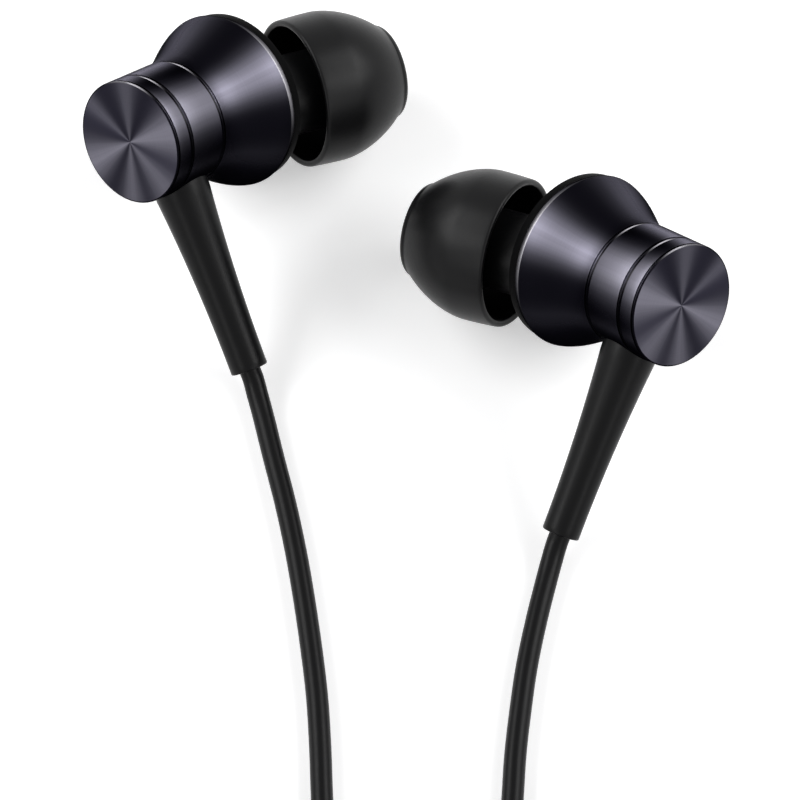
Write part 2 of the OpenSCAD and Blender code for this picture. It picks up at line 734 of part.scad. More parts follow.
// Lead wires leave the knot side by side and turn forwards to the board
wire_x = 0.35;
wire_start = knot_at - knot_d / 2;
wire_y = wire_start - wire_run;

module terminal_board() {
    color(board_colour) union() {
        translate([0, 0, board_z]) cylinder(d = board_d, h = board_t);
        for (x = [-wire_x, wire_x]) translate([x, -wire_y, board_z - pad_t])
            cylinder(d = 2 * wire_x - 0.1, h = pad_t);
    }
}

module lead_wires() {
    color(copper_colour) for (x = [-wire_x, wire_x]) translate([x, 0, boot_z]) {
        translate([0, -wire_start, 0]) rotate([-90, 0, 0]) cylinder(d = wire_d, h = wire_run);
        translate([0, -wire_y, 0]) sphere(d = wire_d);
        translate([0, -wire_y, 0]) cylinder(d = wire_d, h = board_z - pad_t - boot_z);
    }
}

// Tapered strain relief, saddled on the sleeve and held by a flange inside it
module boot() {
    steps = 12;
    bore_r = branch_d / 2 + fit;
    color(rubber_colour) difference() {
        union() {
            difference() {
                along_boot() spun([
                    [0, sleeve_r / 2], [boot_root_d / 2, sleeve_r / 2],
                    for (i = [0 : steps]) [boot_r(i / steps), sleeve_r + boot_len * i / steps],
                    [0, boot_end]
                ]);
                cylinder(r = sleeve_r, h = front_z);
            }
            along_boot() translate([0, 0, flange_in])
                cylinder(d = boot_neck_d, h = sleeve_r + 1 - flange_in);
            along_boot() translate([0, 0, flange_in])
                cylinder(d = boot_flange_d, h = boot_flange_t);
        }
        along_boot() translate([0, 0, flange_in - 1]) cylinder(r = bore_r, h = boot_end);
    }
}

// The cord inside the boot, with the knot that stops it from pulling out
module cord_knot() {
    color(rubber_colour) along_boot() {
        translate([0, 0, knot_at]) cylinder(d = branch_d, h = boot_end - knot_at);
        translate([0, 0, knot_at]) sphere(d = knot_d);
    }
}

// Soft bell over a core that grips the nozzle
module ear_tip() {
    bore_r = lip_d / 2 + fit;
    bore_end = tube_end + 0.15;
    hollow_end = tip_front - crown;
    lip_r = skirt_wall / 2;
    lip_n = rim_n + lip_r;
    lip_at = tip_outer(lip_n) - lip_r;
    outer_end = tip_front - tip_round;
    steps = 14;
    swell_steps = 4;
    color(rubber_colour) along_nozzle() spun([
        [bore_r, core_back], [core_r, core_back], [core_r, hollow_end - 0.4],
        [core_r + 0.4, hollow_end], [tip_outer(hollow_end) - skirt_wall - 0.1, hollow_end],
        for (i = [steps : -1 : 0]) let (n = lip_n + (hollow_end - 0.3 - lip_n) * i / steps)
            [tip_outer(n) - skirt_wall, n],
        for (a = [150 : -30 : 30]) [lip_at + lip_r * cos(a), lip_n - lip_r * sin(a)],
        for (i = [0 : swell_steps - 1]) let (n = lip_n + (dome_n - lip_n) * i / swell_steps)
            [tip_outer(n), n],
        for (i = [0 : steps]) let (n = dome_n + (outer_end - dome_n) * sin(90 * i / steps))
            [tip_outer(n), n],
        for (a = [30 : 30 : 90])
            [tip_outer(outer_end) - tip_round * (1 - cos(a)), outer_end + tip_round * sin(a)],
        [sound_hole_d / 2, tip_front], [sound_hole_d / 2, bore_end], [bore_r, bore_end]
    ]);
}

module left_cord() { color(rubber_colour) tube(left_route, branch_d, 8); }
module left_coil() { color(rubber_colour) tube(left_coil_path, branch_d, 6); }
module left_cord_end() { color(rubber_colour) tube(left_end_route, branch_d, 8); }
module right_cord() { color(rubber_colour) tube(right_route, branch_d, 8); }
module right_coil() { color(rubber_colour) tube(right_coil_path, branch_d, 6); }
module right_cord_end() { color(rubber_colour) tube(right_end_route, branch_d, 8); }
module main_cord() { color(rubber_colour) tube(main_route, main_d, 8); }
module main_coil() { color(rubber_colour) tube(main_coil_path, main_d, 6); }
module main_cord_end() { color(rubber_colour) tube(main_end_route, main_d, 8); }

// Rectangle with rounded corners, from the origin
module rounded(w, h, r) {
    translate([r, 0]) square([w - 2 * r, h]);
    translate([0, r]) square([w, h - 2 * r]);
    for (x = [r, w - r], y = [r, h - r]) translate([x, y]) circle(r = r);
}

// A band round all the turns of one coil, at the given angle
module tie(at, mid_d, pitch, rings, d, angle) {
    inner_w = coil_outer(mid_d, pitch, rings) - coil_inner(mid_d, pitch, rings) + d + 2 * tie_gap;
    inner_h = pitch + d + lay_gap + tie_gap;
    translate([at.x, at.y, 0]) rotate([0, 0, angle])
        translate([(mid_d - inner_w) / 2 - tie_t, tie_w / 2, 0]) rotate([90, 0, 0])
            linear_extrude(tie_w) difference() {
                rounded(inner_w + 2 * tie_t, inner_h + 2 * tie_t, 0.8);
                translate([tie_t, tie_t]) rounded(inner_w, inner_h, 0.8 - tie_t / 2);
            }
}

module coil_ties() {
    color(plastic_colour) {
        tie(left_coil_at, left_coil_d, branch_pitch, branch_coil_rings, branch_d, 180);
        tie(right_coil_at, right_coil_d, branch_pitch, branch_coil_rings, branch_d, 0);
        tie(main_coil_at, main_coil_d, main_pitch, main_coil_rings, main_d, -90);
    }
}

// Turns +Z into -Y, the direction in which the cable runs through the splitter and the plug
module down_cable(at) {
    translate(at) rotate([90, 0, 0]) children();
}

module splitter() {
    taper = 2;
    color(metal_colour) down_cable(splitter_at) spun([
        [0, 0], [splitter_end_d / 2 - 0.1, 0], [splitter_end_d / 2, 0.1],
        [splitter_d / 2, taper], [splitter_d / 2, splitter_len - taper],
        [splitter_end_d / 2 - 0.5, splitter_len - 0.1],
        [splitter_end_d / 2 - 0.6, splitter_len], [0, splitter_len]
    ]);
}

module plug_boot() {
    ribs = 4;
    rib_pitch = plug_boot_len / (ribs + 1);
    slope = (plug_boot_root_d - plug_boot_end_d) / 2 / plug_boot_len;
    function taper_r(s) = plug_boot_end_d / 2 + slope * s;
    color(rubber_colour) down_cable(plug_at) spun([
        [0, 0], [plug_boot_end_d / 2, 0],
        for (i = [1 : ribs]) let (s = rib_pitch * i) each [
            [taper_r(s - 0.3), s - 0.3], [taper_r(s) - 0.25, s - 0.2],
            [taper_r(s) - 0.25, s + 0.2], [taper_r(s + 0.3), s + 0.3]
        ],
        [plug_boot_root_d / 2, plug_boot_len], [0, plug_boot_len]
    ]);
}

shell_at = plug_at - [0, plug_boot_len, 0];
shaft_at = shell_at - [0, shell_len, 0];

module plug_shell() {
    outer_r = shell_d / 2;
    pocket_r = collar_d / 2 + fit;
    pocket_z = shell_len - collar_len;
    color(metal_colour) down_cable(shell_at) spun([
        [0, 0], [outer_r - 0.4, 0], [outer_r, 0.4],
        [outer_r, shell_len - 0.5], [outer_r - 0.3, shell_len],
        [pocket_r, shell_len], [pocket_r, pocket_z], [0, pocket_z]
    ]);
}

module plug_sleeve() {
    color(gold_colour) down_cable(shaft_at) {
        bore_r = insulator_r + fit;
        spun([
            [bore_r, -collar_len], [collar_d / 2, -collar_len], [collar_d / 2, 0],
            [shaft_d / 2, 0], [shaft_d / 2, contact_sleeve_len], [bore_r, contact_sleeve_len]
        ]);
    }
}

module plug_ring() {
    color(gold_colour) down_cable(shaft_at)
        washer(insulator_r + fit, shaft_d / 2, ring_at, contact_ring_len);
}

module plug_insulator() {
    bore_r = rod_d / 2 + fit;
    color(plastic_colour) down_cable(shaft_at) spun([
        [bore_r, -collar_len], [insulator_r, -collar_len],
        [insulator_r, contact_sleeve_len], [shaft_d / 2, contact_sleeve_len],
        [shaft_d / 2, ring_at], [insulator_r, ring_at],
        [insulator_r, second_insulator_at], [shaft_d / 2, second_insulator_at],
        [shaft_d / 2, head_at], [bore_r, head_at]
    ]);
}

module plug_tip() {
    head_r = shaft_d / 2;
    color(gold_colour) down_cable(shaft_at) spun([
        [0, -collar_len], [rod_d / 2, -collar_len], [rod_d / 2, head_at],
        [head_r, head_at], [head_r, head_at + 0.3],
        [head_r - 0.55, head_at + 0.8], [head_r - 0.55, head_at + 1],
        [head_r - 0.2, head_at + 1.8], [head_r - 0.15, head_at + 2.1],
        [0.6, head_at + contact_tip_len - 0.2], [0.35, head_at + contact_tip_len],
        [0, head_at + contact_tip_len]
    ]);
}

for (side = SIDES) {
    seat(side) rear_cap();
    seat(side) rear_sleeve();
    seat(side) bell();
    seat(side) nozzle();
    seat(side) nozzle_mesh();
    seat(side) damper();
    seat(side) driver_frame();
    seat(side) tuning_paper();
    seat(side) yoke();
    seat(side) magnet();
    seat(side) pole_plate();
    seat(side) voice_coil();
    seat(side) diaphragm();
    seat(side) driver_cover();
    seat(side) gasket();
    seat(side) terminal_board();
    seat(side) lead_wires();
    seat(side) boot();
    seat(side) cord_knot();
    seat(side) ear_tip();
}
left_cord();
left_coil();
left_cord_end();
right_cord();
right_coil();
right_cord_end();
splitter();
main_cord();
main_coil();
main_cord_end();
coil_ties();
plug_boot();
plug_shell();
plug_sleeve();
plug_ring();
plug_tip();
plug_insulator();
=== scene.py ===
from math import cos, log, pi, radians, sin, sqrt

import bmesh
import bpy
from mathutils import Matrix, Vector


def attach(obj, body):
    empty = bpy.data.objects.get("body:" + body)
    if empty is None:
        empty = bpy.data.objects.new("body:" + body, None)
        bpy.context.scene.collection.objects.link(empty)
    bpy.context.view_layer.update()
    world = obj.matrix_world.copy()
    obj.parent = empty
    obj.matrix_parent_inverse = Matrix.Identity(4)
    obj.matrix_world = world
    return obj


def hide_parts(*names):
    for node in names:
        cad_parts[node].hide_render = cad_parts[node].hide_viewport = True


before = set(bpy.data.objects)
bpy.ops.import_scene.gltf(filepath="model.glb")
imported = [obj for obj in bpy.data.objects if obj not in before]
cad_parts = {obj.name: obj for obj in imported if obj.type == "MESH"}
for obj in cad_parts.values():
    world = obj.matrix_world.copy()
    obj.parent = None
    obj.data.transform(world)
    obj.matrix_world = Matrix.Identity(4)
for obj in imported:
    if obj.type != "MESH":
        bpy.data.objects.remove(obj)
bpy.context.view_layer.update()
print("frame loaded:", len(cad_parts), "nodes")

mm, tiny = 0.001, 1e-6
sides = ("left", "right")


def addObject(name, data):
    added = bpy.data.objects.new(name, data)
    bpy.context.collection.objects.link(added)
    return added


# camera
cameraView = {
    "target": (-0.0003, -0.01257, 0.008),
    "elevation": 62,
    "distance": 0.5185,
    "lens": 315,
    "sensor": 36,
    "sees": (0.01, 20),
}


def placeCamera(view):
    data = bpy.data.cameras.new("camera")
    data.lens = view["lens"]
    data.sensor_width = view["sensor"]
    data.clip_start, data.clip_end = view["sees"]
    camera = addObject("camera", data)
    tilt = radians(view["elevation"])
    away = Vector((0, -cos(tilt), sin(tilt))) * view["distance"]
    camera.location = Vector(view["target"]) + away
    camera.rotation_euler = (pi / 2 - tilt, 0, 0)
    bpy.context.scene.camera = camera


placeCamera(cameraView)


# where each earpiece lies
placing = {
    "heading": 44, "lean": 118.5, "roll": 37,  # turns of the housing, in degrees
    "spacing": 40.9, "leftY": 6.2, "step": 13.9, "height": 13.6632,  # mm
    "nozzleTurn": 20, "nozzleTilt": 22, "nozzleOffset": 0.8, "frontZ": 11.25,
    "bootZ": 3.35,
}
housingTurn = (
    Matrix.Rotation(radians(placing["heading"]), 4, "Z")
    @ Matrix.Rotation(radians(placing["lean"]), 4, "Y")
    @ Matrix.Rotation(radians(placing["roll"]), 4, "Z")
)
leftAt = Vector((-placing["spacing"] / 2, placing["leftY"], placing["height"]))
rightAt = Vector((placing["spacing"] / 2, placing["leftY"] - placing["step"], placing["height"]))
mirrorX = Matrix.Diagonal((-1, 1, 1, 1))
seats = {
    "left": Matrix.Translation(leftAt) @ housingTurn,
    "right": Matrix.Translation(rightAt) @ mirrorX @ housingTurn,
}
alongNozzle = (
    Matrix.Translation((0, -placing["nozzleOffset"], placing["frontZ"]))
    @ Matrix.Rotation(radians(placing["nozzleTurn"]), 4, "Z")
    @ Matrix.Rotation(radians(-placing["nozzleTilt"]), 4, "Y")
)
alongBoot = Matrix.Translation((0, 0, placing["bootZ"])) @ Matrix.Rotation(pi / 2, 4, "X")
downCable = Matrix.Rotation(pi / 2, 4, "X")
splitterAt = Vector((0.001, -0.081, 0.0024))
plugAt = Vector((0.020, -0.1115, 0.003))


def scaledSeat(seat):
    # the same place for a mesh that is already in metres
    return Matrix.Translation(seat.translation * mm) @ seat.to_3x3().to_4x4()


# mesh helpers
def finishMesh(name, form, material, sharpAngle=32):
    bmesh.ops.remove_doubles(form, verts=form.verts, dist=1e-7)
    bmesh.ops.recalc_face_normals(form, faces=form.faces)
    mesh = bpy.data.meshes.new(name)
    form.to_mesh(mesh)
    form.free()
    mesh.polygons.foreach_set("use_smooth", [True] * len(mesh.polygons))
    mesh.set_sharp_from_angle(angle=radians(sharpAngle))
    mesh.materials.append(material)
    return addObject(name, mesh)


def eased(points, reach=0.05, steps=3, flattest=12, room=2.2):
    # rounds each corner that turns by more than the flattest, in degrees, within its sides' room
    result = [points[0]]
    for before, here, after in zip(points, points[1:], points[2:]):
        a, b, c = Vector(before), Vector(here), Vector(after)
        inward, outward = a - b, c - b
        if min(inward.length, outward.length) < tiny or (
                inward.angle(outward) > radians(180 - flattest)):
            result.append(here)
            continue
        share = min(reach, inward.length / room, outward.length / room)
        start, end = b + inward.normalized() * share, b + outward.normalized() * share
        for i in range(steps + 1):
            t = i / steps
            result.append(tuple(start * (1 - t) ** 2 + b * (2 * t * (1 - t)) + end * t * t))
    result.append(points[-1])
    return result


def arc(centre, radius, angles):
    # points (across, along) at these angles, in degrees, round a centre
    return [(centre[0] + radius * cos(radians(a)), centre[1] + radius * sin(radians(a)))
            for a in angles]


def joinRows(form, rows):
    # faces from row to row: a row on the axis is one vertex, and gives triangles
    for low, high in zip(rows, rows[1:]):
        for i in range(len(low)):
            k = (i + 1) % len(low)
            corners = list(dict.fromkeys((low[i], low[k], high[k], high[i])))
            if len(corners) > 2:
                form.faces.new(corners)


def spin(form, profile, seat, slices):
    # turns a profile of (radius, height) in mm round the seat's Z axis
    turns = [2 * pi * i / slices for i in range(slices)]
    rows = []
    for radius, height in profile:
        spots = [(radius * cos(a), radius * sin(a), height) for a in turns]
        if radius < tiny:
            rows.append([form.verts.new(seat @ Vector(spots[0]) * mm)] * slices)
        else:
            rows.append([form.verts.new(seat @ Vector(spot) * mm) for spot in spots])
    joinRows(form, rows)


def turnedPiece(name, profile, seat, material, slices=128, closed=False, sharpAngle=32):
    form = bmesh.new()
    spin(form, profile + profile[:1] if closed else profile, seat, slices)
    return finishMesh(name, form, material, sharpAngle)


def dress(piece, slotName, *nodes, body="main"):
    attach(piece, body)
    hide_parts(*nodes)


# material helpers
def blankMaterial(name):
    material = bpy.data.materials.new(name)
    material.use_nodes = True
    tree = material.node_tree
    return material, tree, tree.nodes["Principled BSDF"]


def feed(tree, node, values):
    # each input takes a link from a socket, or a plain value
    for key, value in values.items():
        if isinstance(value, bpy.types.NodeSocket):
            tree.links.new(value, node.inputs[key])
        else:
            node.inputs[key].default_value = value
    return node


def addNode(tree, kind, inputs=None, **settings):
    node = tree.nodes.new(kind)
    for key, value in settings.items():
        setattr(node, key, value)
    return feed(tree, node, inputs or {})


def built(tree, kind, inputs=None, **settings):
    return addNode(tree, kind, inputs, **settings).outputs[0]


def maths(tree, operation, first, second=0.0, third=0.0):
    inputs = {0: first, 1: second, 2: third}
    return built(tree, "ShaderNodeMath", inputs, operation=operation)


def mathsIn(tree):
    return lambda operation, *terms: maths(tree, operation, *terms)


def vectorMaths(tree, operation, first, second=(0, 0, 0)):
    node = addNode(tree, "ShaderNodeVectorMath", {0: first, 1: second}, operation=operation)
    return node.outputs["Value" if operation in ("DOT_PRODUCT", "LENGTH") else "Vector"]


def blendColours(tree, share, first, second):
    inputs = {0: share, 6: first, 7: second}
    return addNode(tree, "ShaderNodeMix", inputs, data_type="RGBA").outputs[2]


def newGroup(name, inputs, *outputs):
    # an input without a value is a vector
    tree = bpy.data.node_groups.new(name, "ShaderNodeTree")
    for label, default in inputs.items():
        kind = "NodeSocketVector" if default is None else "NodeSocketFloat"
        socket = tree.interface.new_socket(label, in_out="INPUT", socket_type=kind)
        if default is not None:
            socket.default_value = default
    for label in outputs:
        tree.interface.new_socket(label, in_out="OUTPUT", socket_type="NodeSocketFloat")
    return tree, tree.nodes.new("NodeGroupInput").outputs, tree.nodes.new("NodeGroupOutput")


def fineGrainGroup():
    # moulded grain: a tone that varies softly, and a height for the bump
    tree, entry, out = newGroup(
        "fineGrain", {"Position": None, "Grain": 4000.0, "Cloud": 250.0}, "Height", "Tone")
    fine = built(tree, "ShaderNodeTexNoise", {
        "Vector": entry["Position"], "Scale": entry["Grain"], "Detail": 2.0, "Roughness": 0.6})
    broad = built(tree, "ShaderNodeTexNoise", {
        "Vector": entry["Position"], "Scale": entry["Cloud"], "Detail": 3.0})
    feed(tree, out, {"Height": fine, "Tone": broad})
    return tree


def spunMarksGroup():
    # Streak: fine streaks that fan out from the axis. Line: turned lines round it.
    tree, entry, out = newGroup("spunMarks", {
        "Across": None, "Line At": 0.0, "Streak Scale": 9.0, "Line Scale": 9000.0},
        "Streak", "Line")
    streak = built(tree, "ShaderNodeTexNoise", {
        "Vector": vectorMaths(tree, "NORMALIZE", entry["Across"]),
        "Scale": entry["Streak Scale"], "Detail": 3.0, "Roughness": 0.65})
    line = built(tree, "ShaderNodeTexNoise", {
        "W": entry["Line At"], "Scale": entry["Line Scale"], "Detail": 2.0},
        noise_dimensions="1D")
    feed(tree, out, {"Streak": streak, "Line": line})
    return tree


def paintedRayTree():
    # one painted highlight ray in the base colour, as turned lines show it under a lamp
    tree, entry, out = newGroup(
        "paintedHighlightRay", {"Across": None, "Heading": None, "Sharpness": 12.0, "Amount": 1.0}, "Ray")
    calc, heading = mathsIn(tree), vectorMaths(tree, "NORMALIZE", entry["Across"])
    share = vectorMaths(tree, "DOT_PRODUCT", heading, entry["Heading"])
    ray = calc("POWER", calc("MAXIMUM", share, 0.0), entry["Sharpness"])
    feed(tree, out, {"Ray": calc("MULTIPLY", ray, entry["Amount"])})
    return tree


grainGroup = fineGrainGroup()
spunGroup = spunMarksGroup()
paintedRayGroup = paintedRayTree()

# turned marks: the streak and the line break up the painted highlight rays in the base colour, and
# the line also sets roughness and bump
turnedMarksAndSheen = {"streak": 0.5, "line": 0.2, "lineRoughness": 0.08, "lineHeight": 0.000001, "lineBump": 0.5,
        "edgeTint": (0.04, 0.04, 0.043, 1)}
# rays: painted highlight rays in the base colour, which runs from the low colour, a painted shade,
# to the high colour, a painted highlight: turn about the axis in degrees, half width in degrees,
# amount
# the spun rear face: painted highlight rays fanning out from the centre, on a darker painted
# ground
faceLook = {
    "low": (0.0185, 0.0176, 0.0260, 1), "high": (0.205, 0.199, 0.240, 1),
    "rays": [(182.5, 17, 0.91), (354, 16, 0.87), (57.5, 9, 0.23), (112.5, 11, 0.33),
             (247.5, 14, 0.46), (295, 11, 0.52)],
    "roughness": 0.5, "anisotropic": 0.9,
}
# the sleeve: painted highlight bands, and a near-black low colour as painted shade
sideLook = {
    "low": (0.0040, 0.0038, 0.0058, 1), "high": (0.234, 0.227, 0.273, 1),
    "rays": [(167.5, 14, 0.93), (105, 9, 0.95), (175, 21, 0.17), (227.5, 7, 0.06),
             (350, 14, 0.5), (300, 9, 0.25), (40, 11, 0.35)],
    "roughness": 0.45, "anisotropic": 0.9,
}
# the bell: the same painted highlight and shade, with a lighter high colour so its painted band is
# as bright as the sleeve's
bellLook = {
    **sideLook, "high": (0.26, 0.252, 0.312, 1), "roughness": 0.62, "anisotropic": 0.7,
    "rays": [(167.5, 11, 0.87), (91, 15, 0.33), (232, 9, 0.034), (345, 12, 0.5), (28, 10, 0.25)],
}
# the front edge of the bell, polished and with painted highlight rays, and the narrow edges of the
# turned grooves, with painted highlight rays where light would catch them
frontEdgeLook = {
    "low": (0.012, 0.012, 0.014, 1), "high": (0.42, 0.41, 0.44, 1),
    "rays": [(172, 26, 0.6), (100, 14, 0.15), (350, 18, 0.5), (45, 12, 0.3)],
    "roughness": 0.4, "anisotropic": 0.5,
}
grooveEdgeLook = {
    **sideLook, "high": (0.36, 0.35, 0.38, 1),
    "rays": [(123, 10, 0.7), (100, 8, 0.2), (330, 16, 0.5)],
}
# the slope before each groove: a bright painted highlight line on one side
stepEdgeLook = {
    **sideLook, "high": (0.75, 0.73, 0.78, 1), "roughness": 0.55, "anisotropic": 0.6,
    "rays": [(123, 10, 0.9), (170, 9, 0.1), (330, 16, 0.4)],
}
# the splitter and the plug shell: painted highlight rays on opposite sides, on a dark painted
# ground
cableLook = {**sideLook, "high": (0.165, 0.160, 0.200, 1),
             "rays": [(90, 22, 0.7), (270, 22, 0.7), (20, 14, 0.3), (200, 14, 0.3)]}


def spunMetal(name, centre, xAxis, yAxis, look, face=False):
    # turned and anodised metal: light draws out round the piece's own axis, and the base colour
    # carries painted highlight rays and painted shade by turn about that axis
    material, tree, shader = blankMaterial(name)
    axis = xAxis.cross(yAxis)
    position = addNode(tree, "ShaderNodeTexCoord").outputs["Object"]
    arm = vectorMaths(tree, "SUBTRACT", position, centre)
    x = vectorMaths(tree, "DOT_PRODUCT", arm, xAxis)
    y = vectorMaths(tree, "DOT_PRODUCT", arm, yAxis)
    across = built(tree, "ShaderNodeCombineXYZ", {0: x, 1: y})
    if face:
        lineAt = vectorMaths(tree, "LENGTH", across)
    else:
        lineAt = vectorMaths(tree, "DOT_PRODUCT", arm, axis)
    marks = addNode(tree, "ShaderNodeGroup", {"Across": across, "Line At": lineAt},
                    node_tree=spunGroup).outputs
    calc, paintedShine = mathsIn(tree), 0.0
    # the painted highlight rays, added up
    for turn, halfWidth, amount in look["rays"]:
        ray = built(tree, "ShaderNodeGroup", {
            "Across": across, "Heading": (cos(radians(turn)), sin(radians(turn)), 0),
            "Sharpness": log(0.5) / log(cos(radians(halfWidth))), "Amount": amount},
            node_tree=paintedRayGroup)
        paintedShine = calc("ADD", ray, paintedShine)
    # the streaks and turned lines break up the painted highlight
    streak = calc("MULTIPLY_ADD", marks["Streak"], turnedMarksAndSheen["streak"], 1 - turnedMarksAndSheen["streak"] / 2)
    line = calc("MULTIPLY_ADD", marks["Line"], turnedMarksAndSheen["line"], 1 - turnedMarksAndSheen["line"] / 2)
    paintedLightShare = calc("MULTIPLY", calc("MULTIPLY", paintedShine, streak), line)
    rough = calc("MULTIPLY_ADD", marks["Line"], turnedMarksAndSheen["lineRoughness"],
                 look["roughness"] - turnedMarksAndSheen["lineRoughness"] / 2)
    bump = built(tree, "ShaderNodeBump", {
        "Height": marks["Line"], "Strength": turnedMarksAndSheen["lineBump"], "Distance": turnedMarksAndSheen["lineHeight"]})
    # base colour: the low colour as painted shade, the high colour as painted highlight
    feed(tree, shader, {
        "Base Color": blendColours(tree, paintedLightShare, look["low"], look["high"]),
        "Roughness": rough, "Normal": bump, "Metallic": 1,
        "Tangent": vectorMaths(tree, "NORMALIZE", vectorMaths(tree, "CROSS_PRODUCT", arm, axis)),
        "Specular Tint": turnedMarksAndSheen["edgeTint"], "Anisotropic": look["anisotropic"]})
    return material


grainWear = {"roughness": 0.12, "bump": 0.4}


def soft(name, colour, roughness, specular=0.5, metallic=0, grain=4000, bump=0.00001,
         variation=0.3):
    # rubber, silicone, jacket or moulded plastic with a fine grain
    material, tree, shader = blankMaterial(name)
    position = addNode(tree, "ShaderNodeTexCoord").outputs["Object"]
    texture = addNode(tree, "ShaderNodeGroup", {"Position": position, "Grain": grain},
                      node_tree=grainGroup).outputs
    deep, pale = [tuple(c * share for c in colour) + (1,)
                  for share in (1 - variation, 1 + variation)]
    rough = maths(tree, "MULTIPLY_ADD", texture["Height"], grainWear["roughness"],
                  roughness - grainWear["roughness"] / 2)
    relief = built(tree, "ShaderNodeBump", {
        "Height": texture["Height"], "Strength": grainWear["bump"], "Distance": bump})
    feed(tree, shader, {
        "Base Color": blendColours(tree, texture["Tone"], deep, pale), "Roughness": rough,
        "Normal": relief, "Specular IOR Level": specular, "Metallic": metallic})
    return material


def seatFrame(side):
    seat = seats[side].to_3x3()
    return (Vector(seats[side].translation) * mm,
            seat @ Vector((1, 0, 0)), seat @ Vector((0, 1, 0)))


def sideMetals(name, look, face=False):
    # one metal for each earpiece, which turns with it
    return {side: spunMetal(side + name, *seatFrame(side), look, face) for side in sides}


# each metal paints its highlight rays and its shade into its base colour
housingMetals = sideMetals("HousingMetal", sideLook)
bellMetals = sideMetals("BellMetal", bellLook)
faceMetals = sideMetals("FaceMetal", faceLook, face=True)
frontEdges = sideMetals("FrontEdge", frontEdgeLook)
grooveEdges = sideMetals("GrooveEdge", grooveEdgeLook)
stepEdges = sideMetals("StepEdge", stepEdgeLook)
bezelPlastic = soft("bezelPlastic", (0.003, 0.003, 0.0032), 0.45, specular=0.015)
nozzlePlastic = soft("nozzlePlastic", (0.0015, 0.0015, 0.0017), 0.45, specular=0.008)
bootRubber = soft("bootRubber", (0.002, 0.002, 0.0023), 0.33, specular=0.12)
tipSilicone = soft("tipSilicone", (0.003, 0.003, 0.0034), 0.36, specular=0.14)
cordJacket = soft("cordJacket", (0.002, 0.002, 0.0023), 0.34, specular=0.11)
tiePlastic = soft("tiePlastic", (0.008, 0.008, 0.0085), 0.5, specular=0.3)
foam = soft("damperFoam", (0.02, 0.02, 0.021), 0.9, grain=9000, bump=0.00005)
paper = soft("tuningPaper", (0.7, 0.68, 0.62), 0.9)
film = soft("diaphragmFilm", (0.5, 0.42, 0.2), 0.3)
board = soft("boardGreen", (0.02, 0.12, 0.05), 0.35)
driverPlastic = soft("driverPlastic", (0.02, 0.02, 0.021), 0.45)
driverSteel = soft("driverSteel", (0.5, 0.5, 0.51), 0.35, metallic=1)
magnetNickel = soft("magnetNickel", (0.55, 0.55, 0.56), 0.2, metallic=1)
copper = soft("coilCopper", (0.6, 0.28, 0.14), 0.35, metallic=1)
meshSteel = soft("meshSteel", (0.4, 0.4, 0.41), 0.35, metallic=1)
contactGold = soft("contactGold", (0.8, 0.58, 0.25), 0.22, metallic=1, variation=0.06)
contactPlastic = soft("contactPlastic", (0.015, 0.015, 0.016), 0.4)
cableAxes = Vector((1, 0, 0)), Vector((0, 0, 1))
cableMetal = spunMetal("cableMetal", splitterAt, *cableAxes, cableLook)
plugMetal = spunMetal("plugMetal", plugAt - Vector((0, 0.009, 0)), *cableAxes, cableLook)
print("materials made")


# geometry node helpers
def newShapeTree(name, sizes):
    tree = bpy.data.node_groups.new(name, "GeometryNodeTree")
    for label, default in sizes.items():
        kind = "NodeSocketInt" if isinstance(default, int) else "NodeSocketFloat"
        tree.interface.new_socket(label, in_out="INPUT", socket_type=kind).default_value = default
    tree.interface.new_socket("Material", in_out="INPUT", socket_type="NodeSocketMaterial")
    tree.interface.new_socket("Geometry", in_out="OUTPUT", socket_type="NodeSocketGeometry")
    return tree, tree.nodes.new("NodeGroupInput").outputs


def endTree(tree, geometry, material):
    real = built(tree, "GeometryNodeRealizeInstances", {"Geometry": geometry})
    dressed = built(tree, "GeometryNodeSetMaterial", {"Geometry": real, "Material": material})
    addNode(tree, "NodeGroupOutput", {0: dressed})
    return tree


def bakedForm(tree, values, place):
    # evaluates the tree once and keeps its result as a plain form, in metres
    host = addObject(tree.name, bpy.data.meshes.new(tree.name))
    modifier = host.modifiers.new(tree.name, "NODES")
    modifier.node_group = tree
    for item in tree.interface.items_tree:
        if item.in_out == "INPUT" and item.name in values:
            modifier[item.identifier] = values[item.name]
    graph = bpy.context.evaluated_depsgraph_get()
    mesh = bpy.data.meshes.new_from_object(host.evaluated_get(graph))
    host.modifiers.clear()
    bpy.data.objects.remove(host)
    mesh.polygons.foreach_set("material_index", [0] * len(mesh.polygons))
    mesh.transform(Matrix.Scale(mm, 4) @ place)
    form = bmesh.new()
    form.from_mesh(mesh)
    bpy.data.meshes.remove(mesh)
    return form


def turnedSheet(tree, slices, rows, radiusAt, start, end):
    # a sheet turned round the Z axis, whose radius follows a rule along it
    calc = mathsIn(tree)
    grid = built(tree, "GeometryNodeMeshGrid", {
        "Size X": 1.0, "Size Y": 1.0,
        "Vertices X": calc("ADD", slices, 1.0), "Vertices Y": calc("ADD", rows, 1.0)})
    position = built(tree, "GeometryNodeInputPosition")
    place = addNode(tree, "ShaderNodeSeparateXYZ", {0: position}).outputs
    turn = calc("MULTIPLY", calc("ADD", place[0], 0.5), 2 * pi)
    share = calc("ADD", place[1], 0.5)
    height = calc("MULTIPLY_ADD", calc("SUBTRACT", end, start), share, start)
    radius = radiusAt(height)
    spot = built(tree, "ShaderNodeCombineXYZ", {
        0: calc("MULTIPLY", radius, calc("COSINE", turn)),
        1: calc("MULTIPLY", radius, calc("SINE", turn)), 2: height})
    moved = built(tree, "GeometryNodeSetPosition", {"Geometry": grid, "Position": spot})
    return built(tree, "GeometryNodeMergeByDistance", {"Geometry": moved, "Distance": 0.0001})


